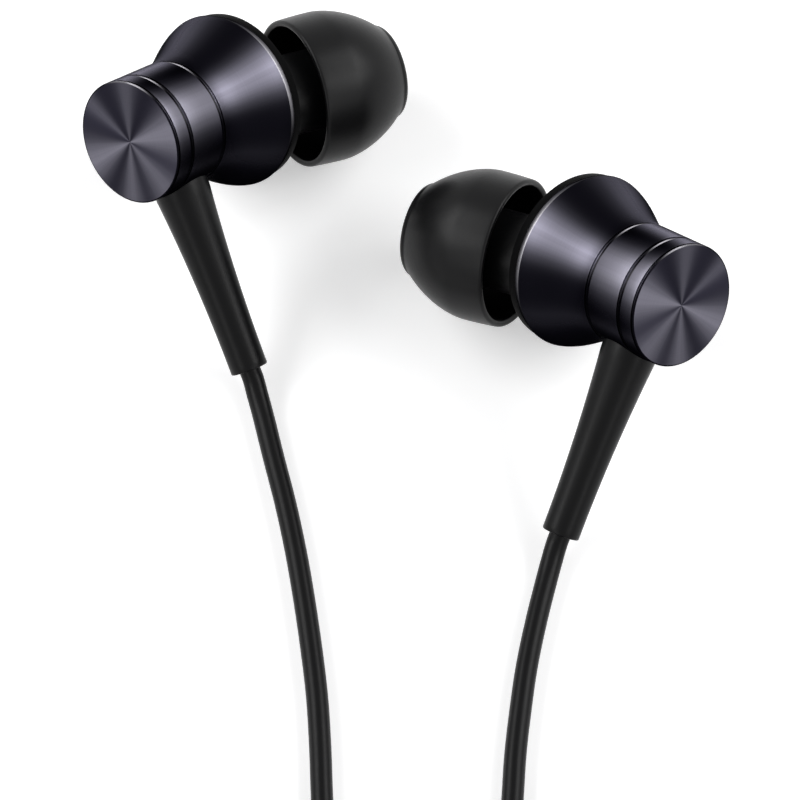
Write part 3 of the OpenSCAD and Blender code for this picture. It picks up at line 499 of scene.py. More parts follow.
def flareTree():
    # the bell swells from its neck along half a cosine wave
    tree, sizes = newShapeTree("flareSheet", {
        "Neck Radius": 4.75, "Crest Radius": 6.8, "Start": 5.6, "End": 10.9, "Crest At": 11.7,
        "Slices": 160, "Rows": 40})
    calc = mathsIn(tree)

    def radiusAt(height):
        share = calc("DIVIDE", calc("SUBTRACT", height, sizes["Start"]),
                     calc("SUBTRACT", sizes["Crest At"], sizes["Start"]))
        rise = calc("MULTIPLY_ADD", calc("COSINE", calc("MULTIPLY", share, pi)), -0.5, 0.5)
        swell = calc("SUBTRACT", sizes["Crest Radius"], sizes["Neck Radius"])
        return calc("MULTIPLY_ADD", swell, rise, sizes["Neck Radius"])

    sheet = turnedSheet(tree, sizes["Slices"], sizes["Rows"], radiusAt,
                        sizes["Start"], sizes["End"])
    return endTree(tree, sheet, sizes["Material"])


def ribTree():
    # a taper with evenly spaced grooves, which leave ribs between them
    tree, sizes = newShapeTree("ribbedSheet", {
        "Thin Radius": 1.5, "Thick Radius": 2.2, "Length": 9.0, "Ribs": 5,
        "Groove Depth": 0.25, "Groove Half Width": 0.3, "Groove Floor": 0.1,
        "Slices": 48, "Rows": 90})
    calc = mathsIn(tree)

    def radiusAt(height):
        share = calc("DIVIDE", height, sizes["Length"])
        taper = calc("MULTIPLY_ADD", calc("SUBTRACT", sizes["Thick Radius"], sizes["Thin Radius"]),
                     share, sizes["Thin Radius"])
        halfPitch = calc("MULTIPLY", calc("DIVIDE", sizes["Length"], sizes["Ribs"]), 0.5)
        away = calc("PINGPONG", height, halfPitch)
        nearEnd = calc("MINIMUM", height, calc("SUBTRACT", sizes["Length"], height))
        inside = calc("GREATER_THAN", nearEnd, halfPitch)
        cut = built(tree, "ShaderNodeMapRange", {
            "Value": away, "From Min": sizes["Groove Half Width"],
            "From Max": sizes["Groove Floor"], "To Min": 0.0, "To Max": sizes["Groove Depth"]},
            interpolation_type="SMOOTHSTEP")
        return calc("SUBTRACT", taper, calc("MULTIPLY", cut, inside))

    sheet = turnedSheet(tree, sizes["Slices"], sizes["Rows"], radiusAt, 0.0, sizes["Length"])
    return endTree(tree, sheet, sizes["Material"])


def joined(tree, *parts):
    join = addNode(tree, "GeometryNodeJoinGeometry")
    for part in parts:
        tree.links.new(part, join.inputs[0])
    return join.outputs[0]


def bentWire(tree, sizes, position, index, sign):
    # one wire of a cell, along X or Y, that goes over or under its neighbour
    calc, pitch = mathsIn(tree), sizes["Pitch"]
    start, end = [built(tree, "ShaderNodeCombineXYZ", {index: calc("MULTIPLY", pitch, half)})
                  for half in (-0.5, 0.5)]
    line = built(tree, "GeometryNodeCurvePrimitiveLine", {"Start": start, "End": end})
    fine = built(tree, "GeometryNodeResampleCurve", {
        "Curve": line, "Count": sizes["Wire Steps"]})
    along = addNode(tree, "ShaderNodeSeparateXYZ", {0: position}).outputs[index]
    turn = calc("MULTIPLY", calc("DIVIDE", along, pitch), pi)
    rise = calc("MULTIPLY", calc("MULTIPLY", calc("COSINE", turn), sizes["Wave"]), sign)
    lifted = built(tree, "ShaderNodeCombineXYZ", {2: rise})
    bent = built(tree, "GeometryNodeSetPosition", {"Geometry": fine, "Offset": lifted})
    profile = built(tree, "GeometryNodeCurvePrimitiveCircle", {
        "Resolution": sizes["Wire Sides"], "Radius": sizes["Wire Radius"]})
    return built(tree, "GeometryNodeCurveToMesh", {0: bent, 1: profile})


def weaveTree():
    # crossing wires, each cell turned against its neighbours, cut to a disc with a rim
    tree, sizes = newShapeTree("wovenDisc", {
        "Pitch": 0.26, "Wire Radius": 0.04, "Wave": 0.035, "Disc Radius": 1.95, "Rim": 0.14,
        "Cut Back": 0.72, "Cells": 15, "Wire Steps": 7, "Wire Sides": 6, "Rim Steps": 64,
        "Rim Sides": 12})
    calc, pitch = mathsIn(tree), sizes["Pitch"]
    across = calc("MULTIPLY", pitch, calc("SUBTRACT", sizes["Cells"], 1.0))
    grid = built(tree, "GeometryNodeMeshGrid", {
        "Size X": across, "Size Y": across,
        "Vertices X": sizes["Cells"], "Vertices Y": sizes["Cells"]})
    position = built(tree, "GeometryNodeInputPosition")
    reach = calc("SUBTRACT", sizes["Disc Radius"], calc("MULTIPLY", pitch, sizes["Cut Back"]))
    outside = calc("GREATER_THAN", vectorMaths(tree, "LENGTH", position), reach)
    kept = built(tree, "GeometryNodeDeleteGeometry", {"Geometry": grid, "Selection": outside})
    place = addNode(tree, "ShaderNodeSeparateXYZ", {0: position}).outputs
    steps = calc("ADD", calc("DIVIDE", place[0], pitch), calc("DIVIDE", place[1], pitch))
    odd = calc("MODULO", calc("ROUND", calc("ABSOLUTE", steps)), 2.0)
    quarter = built(tree, "ShaderNodeCombineXYZ", {2: calc("MULTIPLY", odd, pi / 2)})
    cell = joined(tree, *[bentWire(tree, sizes, position, index, sign)
                          for index, sign in ((0, 1.0), (1, -1.0))])
    cells = built(tree, "GeometryNodeInstanceOnPoints", {
        "Points": kept, "Instance": cell, "Rotation": quarter})
    halfRim = calc("MULTIPLY", sizes["Rim"], 0.5)
    ring = built(tree, "GeometryNodeCurvePrimitiveCircle", {
        "Resolution": sizes["Rim Steps"],
        "Radius": calc("SUBTRACT", sizes["Disc Radius"], halfRim)})
    band = built(tree, "GeometryNodeCurvePrimitiveCircle", {
        "Resolution": sizes["Rim Sides"], "Radius": halfRim})
    rim = built(tree, "GeometryNodeCurveToMesh", {0: ring, 1: band})
    return endTree(tree, joined(tree, cells, rim), sizes["Material"])


flareShape, ribShape, weaveShape = flareTree(), ribTree(), weaveTree()


# housing: cap, sleeve and bell
housing = {
    "sleeveRadius": 4.75, "sleeveLength": 5.2, "sleeveWall": 0.6,
    "capRim": 0.1, "capChamfer": 0.05, "capFace": 0.5, "capSpigot": 1.0, "spigotWall": 0.5,
    "fit": 0.05, "grooveWidth": 0.2, "grooveDepth": 0.15, "grooveAt": 1.6,
    "litEdge": 0.24, "litDrop": 0.05,  # the slope before each groove
    "sleeveSpigot": 0.8,
    "bellRadius": 6.8, "bellLength": 5.95, "straightRun": 0.3, "crestPast": 0.45,
    "edgeLength": 0.35, "edgeIn": 0.12, "seatDepth": 2.55, "ledgeDepth": 0.85, "ledgeRadius": 6.05,
    "seatRadius": 5.15,
    "slices": 160, "rows": 40, "faceRings": 12, "faceEdge": 0.93, "faceLip": 0.1,
    "edgeBack": 0.1, "ease": 0.02, "slack": 0.01,  # slack: for the faces at a limit
}
bellZ = housing["capRim"] + housing["sleeveLength"]
frontZ = bellZ + housing["bellLength"]
boreRadius = housing["sleeveRadius"] - housing["sleeveWall"]


def flareRadius(z):
    start = bellZ + housing["straightRun"]
    run = frontZ + housing["crestPast"] - start
    rise = (1 - cos(pi * max(0, z - start) / run)) / 2
    return housing["sleeveRadius"] + (housing["bellRadius"] - housing["sleeveRadius"]) * rise


def markFaces(piece, seat, material, test):
    # gives a material to the faces whose centre (radius, height) in mm passes the test
    piece.data.materials.append(material)
    toSeat = seat.inverted()
    for face in piece.data.polygons:
        at = toSeat @ (face.center / mm)
        if test(at.xy.length, at.z):
            face.material_index = len(piece.data.materials) - 1


def makeHousing(side):
    h, seat = housing, seats[side]
    outer, spigot = h["sleeveRadius"], boreRadius - h["fit"]
    groove, lit, drop = outer - h["grooveDepth"], h["litEdge"], h["litDrop"]
    width, slices, ease, slack = h["grooveWidth"], h["slices"], h["ease"], h["slack"]
    capEnd, spigotInside = h["capRim"] + h["capSpigot"], spigot - h["spigotWall"]
    rings = [(outer * i / h["faceRings"], 0) for i in range(1, h["faceRings"] - 1)]
    cap = [(0, 0)] + rings + eased([
        (outer * h["faceEdge"], 0), (outer - h["faceLip"], 0), (outer, h["capChamfer"]),
        (outer, h["capRim"]), (spigot, h["capRim"]), (spigot, capEnd),
        (spigotInside, capEnd), (spigotInside, h["capFace"]), (0, h["capFace"])], ease)
    capPiece = turnedPiece(side + "RearCap", cap, seat, faceMetals[side], slices)
    # the lip at the cap's rim takes the groove edge metal, with its painted highlight
    markFaces(capPiece, seat, grooveEdges[side],
              lambda r, z: r > outer - h["faceLip"] - slack and z < h["capRim"] - slack)
    dress(capPiece, "housing_metal", side + "_rear_cap")
    z, middle = h["capRim"], h["capRim"] + h["grooveAt"]
    sleeveEnd = bellZ + h["sleeveSpigot"]
    sleeve = eased([
        (boreRadius, z), (groove, z), (groove, z + width),
        (outer, z + width), (outer, middle - lit), (outer - drop, middle), (groove, middle),
        (groove, middle + width), (outer, middle + width), (outer, bellZ - lit),
        (outer - drop, bellZ), (spigot, bellZ), (spigot, sleeveEnd), (spigotInside, sleeveEnd),
        (spigotInside, bellZ), (boreRadius, bellZ - h["spigotWall"]), (boreRadius, z)], ease)
    sleevePiece = turnedPiece(side + "RearSleeve", sleeve, seat, housingMetals[side], slices,
                              closed=True)
    # the slope before each groove takes the step edge metal, with its painted highlight line
    markFaces(sleevePiece, seat, stepEdges[side], lambda r, z: r > outer - drop - slack and (
        middle - lit < z < middle or bellZ - lit < z < bellZ))
    dress(sleevePiece, "housing_metal", side + "_rear_sleeve")
    start, end = bellZ + h["straightRun"], frontZ - h["edgeLength"]
    form = bakedForm(flareShape, {
        "Neck Radius": outer, "Crest Radius": h["bellRadius"], "Start": start, "End": end,
        "Crest At": frontZ + h["crestPast"], "Slices": slices, "Rows": h["rows"],
        "Material": bellMetals[side]}, seat)
    edgeRadius, ledgeZ = flareRadius(end) - h["edgeIn"], frontZ - h["ledgeDepth"]
    seatZ = frontZ - h["seatDepth"]
    inside = eased([
        (flareRadius(end), end), (edgeRadius, frontZ), (h["ledgeRadius"], frontZ),
        (h["ledgeRadius"], ledgeZ), (h["seatRadius"], ledgeZ), (h["seatRadius"], seatZ),
        (boreRadius, seatZ), (boreRadius, bellZ), (groove, bellZ), (groove, bellZ + width),
        (outer, bellZ + width), (outer, start)], ease)
    spin(form, inside, seat, slices)
    bellPiece = finishMesh(side + "Bell", form, bellMetals[side])
    # the bell's front edge takes the front edge metal, polished and with painted highlight rays
    markFaces(bellPiece, seat, frontEdges[side],
              lambda r, z: z > end - h["edgeBack"] and r > edgeRadius - ease)
    dress(bellPiece, "housing_metal", side + "_bell")


for side in sides:
    makeHousing(side)
print("housings made")


# nozzle: cover with its bezel, and the angled neck
nozzle = {
    "backZ": 11.0, "ledgeZ": 10.4, "bezelHeight": 0.85, "dishDepth": 0.45,
    "neckRootRadius": 4.4, "shoulderRadius": 2.9, "neckLength": 3.1, "tubeRadius": 2.3,
    "lipRadius": 2.55, "lipLength": 0.7, "tubeLength": 6.0, "boreRadius": 1.75,
    "bezelWall": 0.5, "bezelFoot": 0.65, "lipBack": 0.4, "lipRamp": 0.25,
    "neckStart": -3, "neckSunk": 0.2,  # the neck runs a little way into the cover
    "meshRadius": 1.95, "meshThickness": 0.15, "damperLength": 0.8, "gasketThickness": 0.3,
    "gasketWidth": 1.1,
    "slices": {"cover": 128, "neck": 96, "damper": 64, "gasket": 96},
    "backRing": 0.9, "dishRing": 0.8,  # shares of the radius
    "ease": {"cover": 0.18, "neck": 0.08, "damper": 0.12, "gasket": 0.1},
}
tubeEnd = nozzle["neckLength"] + nozzle["tubeLength"]
meshSeat = tubeEnd - nozzle["meshThickness"] - housing["fit"]


def makeNozzle(side):
    n, h, seat = nozzle, housing, seats[side]
    bezelR = flareRadius(frontZ - h["edgeLength"]) - h["edgeIn"] - h["fit"]
    seatR, plugR = h["seatRadius"], h["ledgeRadius"] - h["fit"]
    top = frontZ + n["bezelHeight"]
    face = top - n["dishDepth"]
    cover = [(0, n["backZ"])] + eased([
        (seatR * n["backRing"], n["backZ"]), (seatR, n["backZ"]), (seatR, n["ledgeZ"]),
        (plugR, n["ledgeZ"]), (plugR, frontZ), (bezelR, frontZ), (bezelR, top),
        (bezelR - n["bezelWall"], top), (bezelR - n["bezelFoot"], face),
        (bezelR * n["dishRing"], face)], n["ease"]["cover"])
    cover.append((0, face))
    form = bmesh.new()
    spin(form, cover, seat, n["slices"]["cover"])
    slope = (n["neckRootRadius"] - n["shoulderRadius"]) / n["neckLength"]
    lipStart = tubeEnd - n["lipBack"] - n["lipLength"]
    start, pocket = n["neckStart"], n["meshRadius"] + h["fit"]
    bore, tube, lip = n["boreRadius"], n["tubeRadius"], n["lipRadius"]
    neck = eased([
        (bore, start), (n["neckRootRadius"] - start * slope, start),
        (n["shoulderRadius"], n["neckLength"]), (tube, n["neckLength"]), (tube, lipStart),
        (lip, lipStart + n["lipRamp"]), (lip, lipStart + n["lipLength"]), (tube, tubeEnd),
        (pocket, tubeEnd), (pocket, meshSeat), (bore, meshSeat), (bore, start)],
        n["ease"]["neck"])
    angled = bmesh.new()
    spin(angled, neck, alongNozzle, n["slices"]["neck"])
    bmesh.ops.remove_doubles(angled, verts=angled.verts, dist=1e-7)
    cut = bmesh.ops.bisect_plane(
        angled, geom=angled.verts[:] + angled.edges[:] + angled.faces[:],
        plane_co=(0, 0, (face - n["neckSunk"]) * mm), plane_no=(0, 0, 1), clear_inner=True)
    rim = [part for part in cut["geom_cut"] if isinstance(part, bmesh.types.BMEdge)]
    bmesh.ops.bridge_loops(angled, edges=rim)
    bmesh.ops.transform(angled, matrix=scaledSeat(seat), verts=angled.verts)
    for part in angled.faces:
        part.material_index = 1
    loose = bpy.data.meshes.new("neck")
    angled.to_mesh(loose)
    angled.free()
    form.from_mesh(loose)
    bpy.data.meshes.remove(loose)
    piece = finishMesh(side + "Nozzle", form, bezelPlastic)
    piece.data.materials.append(nozzlePlastic)
    dress(piece, "nozzle_plastic", side + "_nozzle")


def makeNozzleFilling(side):
    # woven mesh, the foam damper behind it, and the foam gasket behind the cover
    n, place = nozzle, seats[side] @ alongNozzle
    middle = Matrix.Translation((0, 0, meshSeat + n["meshThickness"] / 2))
    form = bakedForm(weaveShape, {
        "Disc Radius": n["meshRadius"], "Material": meshSteel}, place @ middle)
    woven = finishMesh(side + "NozzleMesh", form, meshSteel, sharpAngle=60)
    dress(woven, "mesh_steel", side + "_nozzle_mesh")
    high = meshSeat - housing["fit"]
    reach, low = n["boreRadius"] - housing["fit"], high - n["damperLength"]
    damper = [(0, low)] + eased([
        (reach / 2, low), (reach, low), (reach, high), (reach / 2, high)], n["ease"]["damper"])
    damper.append((0, high))
    damperPiece = turnedPiece(side + "Damper", damper, place, foam, n["slices"]["damper"])
    dress(damperPiece, "damper_foam", side + "_damper")
    high, outer = n["backZ"], housing["seatRadius"] - housing["fit"]
    low, inner = high - n["gasketThickness"], outer - n["gasketWidth"]
    middle = (inner + outer) / 2
    gasket = eased([
        (middle, low), (outer, low), (outer, high), (inner, high), (inner, low),
        (middle, low)], n["ease"]["gasket"])[:-1]
    gasketPiece = turnedPiece(side + "Gasket", gasket, seats[side], foam,
                              n["slices"]["gasket"], closed=True)
    dress(gasketPiece, "damper_foam", side + "_gasket")


for side in sides:
    makeNozzle(side)
    makeNozzleFilling(side)
print("nozzles made")


# ear tips
earTip = {
    "skirtRadius": 5.8, "rimTaper": 0.2, "rimAt": 5.25, "length": 8.2, "swell": 2.85,
    "domeReach": 7.05, "domeFullness": 1.68, "skirtWall": 0.5, "coreRadius": 3.1,
    "boreRadius": 2.6, "coreBack": 3.15, "crown": 1.9, "holeRadius": 1.9,
    "frontRound": 0.5, "boreEnd": 9.25, "webRound": 0.4, "ease": 0.2,
    "hollowBack": 0.3, "hollowIn": 0.1,  # where the inside of the skirt starts to turn in
    "slices": 128, "wallSteps": 24, "sideSteps": 8, "domeSteps": 40, "roundStep": 15,
}


def tipRadius(n):
    t = earTip
    dome = t["rimAt"] + t["swell"]
    if n < dome:
        return t["skirtRadius"] - t["rimTaper"] / 2 * ((dome - n) / t["swell"]) ** 2
    power = t["domeFullness"]
    return t["skirtRadius"] * (1 - ((n - dome) / t["domeReach"]) ** power) ** (1 / power)


def makeEarTip(side):
    t, seat = earTip, seats[side] @ alongNozzle
    wall, rounding, web = t["skirtWall"], t["frontRound"], t["webRound"]
    front, lip = t["rimAt"] + t["length"], wall / 2
    hollowEnd, dome = front - t["crown"], t["rimAt"] + t["swell"]
    lipN, outerEnd = t["rimAt"] + lip, front - rounding
    hollowRun, step = hollowEnd - t["hollowBack"] - lipN, t["roundStep"]
    walls, straight, curved = t["wallSteps"], t["sideSteps"], t["domeSteps"]
    inner = [(tipRadius(n) - wall, n)
             for n in [lipN + hollowRun * i / walls for i in range(walls, -1, -1)]]
    rim = arc((tipRadius(lipN) - lip, lipN), lip, range(step - 180, 0, step))
    heights = [lipN + (dome - lipN) * i / straight for i in range(straight)]
    heights += [dome + (outerEnd - dome) * sin(pi / 2 * i / curved) for i in range(curved + 1)]
    outer = [(tipRadius(n), n) for n in heights]
    edgeAt = (tipRadius(outerEnd) - rounding, outerEnd)
    edge = arc(edgeAt, rounding, range(step, 91, step))
    core, bore, back = t["coreRadius"], t["boreRadius"], t["coreBack"]
    crown = (tipRadius(hollowEnd) - wall - t["hollowIn"], hollowEnd)
    profile = eased([
        (bore, back), (core, back), (core, hollowEnd - web), (core + web, hollowEnd),
        crown, inner[0]], t["ease"])[:-1]
    profile += inner + rim + outer + edge
    profile += eased([
        edge[-1], (t["holeRadius"], front), (t["holeRadius"], t["boreEnd"]),
        (bore, t["boreEnd"]), (bore, back)], t["ease"])[1:-1]
    tip = turnedPiece(side + "EarTip", profile, seat, tipSilicone, t["slices"], closed=True,
                      sharpAngle=60)
    dress(tip, "silicone", side + "_ear_tip", body=side + "_tip")


for side in sides:
    makeEarTip(side)
print("ear tips made")


# boots, each saddled on its sleeve
boot = {
    "rootRadius": 2.14, "endRadius": 1.43, "length": 14.55, "boreRadius": 0.875,
    "neckRadius": 1.3, "neckInside": 3.258, "flangeRadius": 1.65, "flange": 0.5,
    "endRound": 0.12, "slices": 48, "rows": 36,
    "lip": ((0.12, 0), (0.02, 0.04)),  # how far in and how high, where it meets the sleeve
    "neckBack": 0.35, "mouthWidth": 0.05, "mouthDepth": 0.1,
    "knotAt": 2.158, "knotRadius": 1.1, "cordRadius": 0.825, "knotEnd": 0.9,
    "knotSlices": 32,
}


def bootRadius(u):
    return boot["endRadius"] + (boot["rootRadius"] - boot["endRadius"]) * (1 - u) ** 2


def makeBoot(side):
    b, seat, sleeve = boot, seats[side] @ alongBoot, housing["sleeveRadius"]
    end, flangeEnd = sleeve + b["length"], b["neckInside"] + b["flange"]
    form, rows = bmesh.new(), []

    def addRow(radius, height, saddle=None):
        row = []
        for i in range(b["slices"]):
            a = 2 * pi * i / b["slices"]
            x = radius * cos(a)
            z = height if saddle is None else sqrt(sleeve ** 2 - x * x) + saddle
            row.append(form.verts.new(seat @ Vector((x, radius * sin(a), z)) * mm))
        rows.append(row)

    addRow(b["flangeRadius"], b["neckInside"])
    addRow(b["flangeRadius"], flangeEnd)
    addRow(b["neckRadius"], flangeEnd)
    addRow(b["neckRadius"], sleeve - b["neckBack"])
    for inward, rise in b["lip"]:
        addRow(b["rootRadius"] - inward, 0, saddle=rise)
    for i in range(1, b["rows"] + 1):
        u = i / b["rows"] * (1 - b["endRound"] / b["length"])
        addRow(bootRadius(u), sleeve + b["length"] * u)
    corner = b["endRadius"] - b["endRound"], end - b["endRound"]
    for radius, height in arc(corner, b["endRound"], (30, 60, 90)):
        addRow(radius, height)
    addRow(b["boreRadius"] + b["mouthWidth"], end)
    addRow(b["boreRadius"], end - b["mouthDepth"])
    addRow(b["boreRadius"], b["neckInside"])
    joinRows(form, rows + rows[:1])
    bootPiece = finishMesh(side + "Boot", form, bootRubber, sharpAngle=50)
    dress(bootPiece, "rubber", side + "_boot")
    size, cord = b["knotRadius"], b["cordRadius"]
    knot = [(0, -size)] + arc((0, 0), size, range(-75, 50, 15))
    knot += [(cord, b["knotEnd"]), (cord, end - b["knotAt"]), (0, end - b["knotAt"])]
    knotSeat = seat @ Matrix.Translation((0, 0, b["knotAt"]))
    knotPiece = turnedPiece(side + "CordKnot", knot, knotSeat, cordJacket, b["knotSlices"])
    dress(knotPiece, "cord_jacket", side + "_cord_knot")


for side in sides:
    makeBoot(side)
print("boots made")


# cords: each follows the route of its solids
branchCord = {
    "diameter": 0.00165, "pitch": 0.0021, "coilZ": 0.001275, "rings": 122, "ringsPerTurn": 24,
    "landZ": 0.00105, "floorZ": 0.000845, "climbZ": 0.001, "exitRun": 0.0008, "spacing": 0.0022,
}
mainCord = {
    "diameter": 0.002, "pitch": 0.00245, "coilZ": 0.00145, "rings": 262, "ringsPerTurn": 24,
}
coils = {
    "left": {"at": (-0.0133, -0.0566), "across": 0.017, "start": 30, "hand": 1},
    "right": {"at": (0.0157, -0.0568), "across": 0.0179, "start": 150, "hand": -1},
    "main": {"at": (-0.0036, -0.1177), "across": 0.023, "start": 60, "hand": 1},
}
coilLead, fittingRun = 0.001, 0.002  # straight lengths at a coil's ends and before a fitting
# x and y in mm of each branch, from its boot to its coil
stretches = {
    "left": [(-11, -8.5), (-10.6, -10), (-9.8, -13.5), (-8.85, -17.5), (-8.05, -21.5),
             (-7.4, -25.5), (-6.85, -29.5), (-6.4, -33.5), (-6.15, -37.5), (-6, -41.5),
             (-5.8, -45), (-5.3, -47.5)],
    "right": [(11, -22.3), (10.6, -23.8), (9.8, -27.2), (9.05, -31), (8.55, -34.6),
              (8.15, -38.2), (7.9, -42), (7.65, -45.2), (7.2, -47.6)],
}


def coilPoints(facts, coil):
    # winds in, climbs in the half turn where it reverses, and winds out
    pitch, rings, perTurn = facts["pitch"], facts["rings"], facts["ringsPerTurn"]
    half = rings / perTurn / 2
    outer = coil["across"] / 2 + pitch * half / 2
    centre = Vector((*coil["at"], facts["coilZ"]))
    points = []

    def angleAt(turn):
        return radians(coil["start"] - coil["hand"] * 360 * turn)

    def heading(turn):
        angle = angleAt(turn)
        return coil["hand"] * Vector((sin(angle), -cos(angle), 0))

    for i in range(rings + 1):
        turn = i / perTurn
        angle, radius = angleAt(turn), outer - pitch * (half - abs(turn - half))
        rise = min(1, max(0, (turn - half) * 2 + 0.5))
        points.append(centre + Vector((radius * cos(angle), radius * sin(angle), pitch * rise)))
    entry, leaving = heading(0), heading(rings / perTurn)
    first = points[0] - facts["diameter"] * entry
    last = points[-1] + facts["diameter"] * leaving
    return [first - coilLead * entry, first] + points + [last, last + coilLead * leaving]


def cordRoute(side):
    b, spots = branchCord, stretches[side]
    bootEnd = housing["sleeveRadius"] + boot["length"]
    exitAt = seats[side] @ Vector((0, -bootEnd, placing["bootZ"])) * mm
    heading = seats[side].to_3x3() @ Vector((0, -1, 0))
    heights = [b["landZ"]] + [b["floorZ"]] * (len(spots) - 2) + [b["climbZ"]]
    stretch = [Vector((x * mm, y * mm, z)) for (x, y), z in zip(spots, heights)]
    hand = -1 if side == "left" else 1
    tail = [Vector((splitterAt.x + hand * away, y, z)) for away, y, z in (
        (0.0031, -0.0615, 0.0026), (0.0028, -0.0655, 0.00135), (0.0022, -0.0695, 0.0009),
        (0.0015, -0.0735, 0.00105), (0.00115, -0.077, 0.0018))]
    entry = splitterAt + Vector((hand * b["spacing"] / 2, 0, 0))
    return ([exitAt, exitAt + b["exitRun"] * heading] + stretch + coilPoints(b, coils[side])
            + tail + [entry + Vector((0, fittingRun, 0)), entry])


def mainRoute():
    out = splitterAt - Vector((0, 0.014, 0))
    start = [out, out - Vector((0, 0.0015, 0)), Vector((0.0013, -0.098, 0.0018)),
             Vector((0.00205, -0.0994, 0.0015))]
    tail = [(0.0025, -0.0995, 0.0039), (0.0065, -0.0996, 0.0033), (0.0103, -0.0999, 0.0021),
            (0.0138, -0.101, 0.00135), (0.0169, -0.103, 0.0013), (0.0191, -0.1059, 0.0019)]
    return (start + coilPoints(mainCord, coils["main"]) + [Vector(p) for p in tail]
            + [plugAt + Vector((0, fittingRun, 0)), plugAt])


def routeLength(points):
    return sum((b - a).length for a, b in zip(points, points[1:]))


cordFineness = {"along": 4, "round": 5}


def cordCurve(name, points, diameter):
    curve = bpy.data.curves.new(name, "CURVE")
    curve.dimensions = "3D"
    curve.resolution_u = cordFineness["along"]
    curve.bevel_depth = diameter / 2
    curve.bevel_resolution = cordFineness["round"]
    curve.use_fill_caps = True
    spline = curve.splines.new("BEZIER")
    spline.bezier_points.add(len(points) - 1)
    for i, point in enumerate(points):
        before, after = points[max(i - 1, 0)], points[min(i + 1, len(points) - 1)]
        direction = (after - before).normalized()
        knot = spline.bezier_points[i]
        knot.co = point
        knot.handle_left_type = knot.handle_right_type = "FREE"
        knot.handle_left = point - direction * (point - before).length / 3
        knot.handle_right = point + direction * (after - point).length / 3
    curve.materials.append(cordJacket)
    return addObject(name, curve)


cordPieces = {}
for key, facts in (("left", branchCord), ("right", branchCord), ("main", mainCord)):
    route = mainRoute() if key == "main" else cordRoute(key)
    piece = cordCurve(key + "Cord", route, facts["diameter"])
    dress(piece, "cord_jacket", key + "_cord", key + "_coil", key + "_cord_end")
    cordPieces[key] = (piece, route)
    print(key, "cord length", round(routeLength(route), 4))


# straps round the coils, and the ribbed boot of the plug
strap = {
    "thickness": 0.4, "width": 2.4, "gap": 0.15, "layGap": 0.05, "corner": 0.8, "edge": 0.15,
    "turns": {"left": 180, "right": 0, "main": -90},
}
plugBoot = {"length": 9.0, "thinRadius": 1.5, "thickRadius": 2.2, "ribs": 5, "slices": 48}


def addStrap(form, facts, coil, turn):
    # a flat strap with soft edges, wound once round all the turns of a coil
    t, edge = strap["thickness"], strap["edge"]
    d, pitch = facts["diameter"] / mm, facts["pitch"] / mm
    spread = pitch * facts["rings"] / facts["ringsPerTurn"] / 2
    inW, inH = spread + d + 2 * strap["gap"], pitch + d + strap["layGap"] + strap["gap"]
    w, h, corner = inW + t, inH + t, strap["corner"] - t / 2
    path = []
    for cx, cz, first in ((w - corner, corner, -90), (w - corner, h - corner, 0),
                          (corner, h - corner, 90), (corner, corner, 180)):
        for k in range(7):
            a = radians(first + 15 * k)
            outward = Vector((cos(a), 0, sin(a)))
            path.append((Vector((cx, 0, cz)) + corner * outward, outward))
    halfT, halfW = t / 2 - edge, strap["width"] / 2 - edge
    section = []
    for cu, cv, first in ((halfT, halfW, 0), (-halfT, halfW, 90),
                          (-halfT, -halfW, 180), (halfT, -halfW, 270)):
        section += arc((cu, cv), edge, range(first, first + 91, 30))
    place = (Matrix.Translation((coil["at"][0] / mm, coil["at"][1] / mm, 0))
             @ Matrix.Rotation(radians(turn), 4, "Z")
             @ Matrix.Translation((coil["across"] / mm / 2 - w / 2, 0, t / 2)))
    loops = [
        [form.verts.new(place @ (spot + outward * u + Vector((0, v, 0))) * mm)
         for u, v in section]
        for spot, outward in path
    ]
    joinRows(form, loops + loops[:1])


def makeStraps():
    form = bmesh.new()
    for key, turn in strap["turns"].items():
        addStrap(form, mainCord if key == "main" else branchCord, coils[key], turn)
    piece = finishMesh("coilStraps", form, tiePlastic, sharpAngle=40)
    dress(piece, "tie_plastic", "coil_ties")
    return piece


def makePlugBoot():
    b = plugBoot
    seat = Matrix.Translation(plugAt / mm) @ downCable
    form = bakedForm(ribShape, {
        "Thin Radius": b["thinRadius"], "Thick Radius": b["thickRadius"],
        "Length": b["length"], "Ribs": b["ribs"], "Slices": b["slices"],
        "Material": bootRubber}, seat)
    spin(form, [(0, 0), (b["thinRadius"], 0)], seat, b["slices"])
    spin(form, [(b["thickRadius"], b["length"]), (0, b["length"])], seat, b["slices"])
    piece = finishMesh("plugBoot", form, bootRubber, sharpAngle=50)
    dress(piece, "rubber", "plug_boot")
    return piece


straps, plugBootPiece = makeStraps(), makePlugBoot()
print("straps and plug boot made")


# CAD nodes that stay, with their finishes
finishes = {
    "driver_frame": driverPlastic, "tuning_paper": paper, "yoke": driverSteel,
    "magnet": magnetNickel, "pole_plate": driverSteel, "voice_coil": copper, "diaphragm": film,
    "driver_cover": driverSteel, "terminal_board": board, "lead_wires": copper,
}
cableFinishes = {
    "splitter": cableMetal, "plug_shell": plugMetal, "plug_sleeve": contactGold,
    "plug_ring": contactGold, "plug_tip": contactGold, "plug_insulator": contactPlastic,
}
kept = {side + "_" + node: material for side in sides for node, material in finishes.items()}
for name, material in {**kept, **cableFinishes}.items():
    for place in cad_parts[name].material_slots:
        place.material = material

for side in sides:
    piece, route = cordPieces[side]
piece, route = cordPieces["main"]


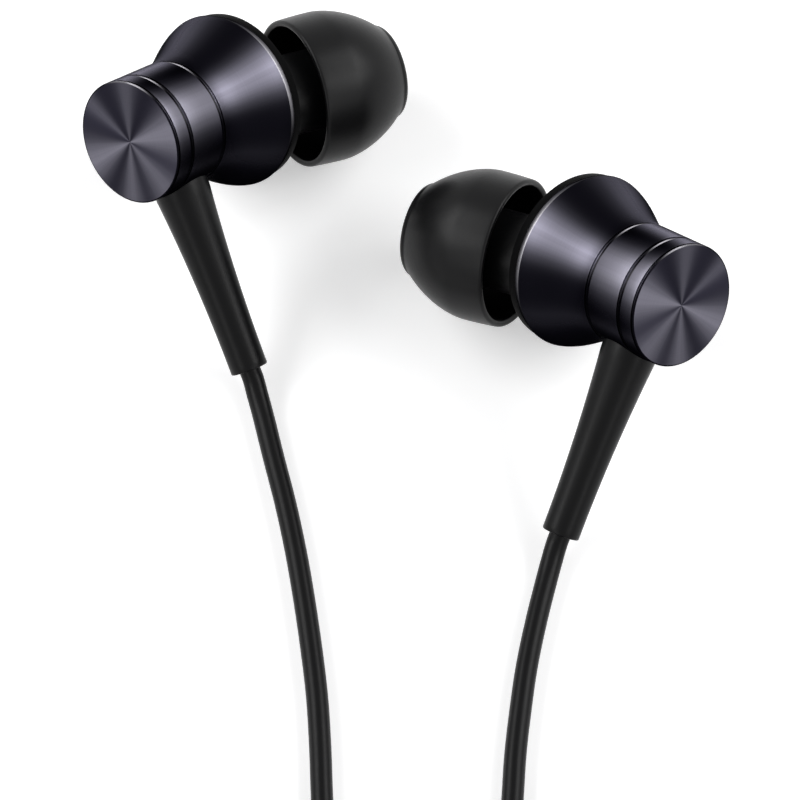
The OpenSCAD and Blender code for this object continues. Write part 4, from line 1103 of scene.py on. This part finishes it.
# floor, lamps and world
studio = {
    "floor": (0.93, 0.93, 0.935, 1), "floorRoughness": 0.9, "floorGlow": 0.42, "worldGlow": 0.1,
    "floorReach": 1.5, "lampDistance": 0.7, "lampSize": 0.3,
    # each lamp stands once on the left and once on the right: azimuth, elevation, watts
    "lamps": {"Lamp": (84, 40, 1.4), "FrontLamp": (45, 28, 0.6), "RearLamp": (122, 42, 1.3),
              "EdgeLamp": (105, 30, 0.8)},
}


def shownDirectly(tree):
    # 1 for rays that see the background: straight, mirrored or through glass
    light = addNode(tree, "ShaderNodeLightPath")
    calc, rays = mathsIn(tree), light.outputs
    straight = calc("MAXIMUM", rays["Is Camera Ray"], rays["Is Glossy Ray"])
    return calc("MAXIMUM", straight, rays["Is Transmission Ray"])


def makeFloor():
    mesh = bpy.data.meshes.new("floor")
    r = studio["floorReach"]
    mesh.from_pydata([(-r, -r, 0), (r, -r, 0), (r, r, 0), (-r, r, 0)], [], [(0, 1, 2, 3)])
    material, tree, shader = blankMaterial("floorPaper")
    glow = maths(tree, "MULTIPLY", shownDirectly(tree), studio["floorGlow"])
    feed(tree, shader, {
        "Base Color": studio["floor"], "Roughness": studio["floorRoughness"],
        "Specular IOR Level": 0, "Emission Color": (1, 1, 1, 1), "Emission Strength": glow})
    mesh.materials.append(material)
    addObject("floor", mesh)


def makeWorld():
    world = bpy.data.worlds.new("studio")
    world.use_nodes = True
    tree = world.node_tree
    strength = built(tree, "ShaderNodeMapRange", {
        "Value": shownDirectly(tree), "To Min": studio["worldGlow"], "To Max": 1.0})
    feed(tree, tree.nodes["Background"], {"Color": (1, 1, 1, 1), "Strength": strength})
    bpy.context.scene.world = world


def makeLamps():
    target, size = Vector(cameraView["target"]), studio["lampSize"]
    for name, (azimuth, elevation, watts) in studio["lamps"].items():
        for side, turn in (("left", -azimuth), ("right", azimuth)):
            a, e = radians(turn), radians(elevation)
            toLamp = Vector((sin(a) * cos(e), -cos(a) * cos(e), sin(e)))
            data = bpy.data.lights.new(side + name, "AREA")
            data.shape = "RECTANGLE"
            data.size, data.size_y = size, size
            data.energy = watts
            lamp = addObject(side + name, data)
            lamp.location = target + toLamp * studio["lampDistance"]
            lamp.rotation_mode = "QUATERNION"
            lamp.rotation_quaternion = toLamp.to_track_quat("Z", "Y")


makeFloor()
makeWorld()
makeLamps()
bpy.context.scene.view_settings.view_transform = "Standard"
print("studio made")
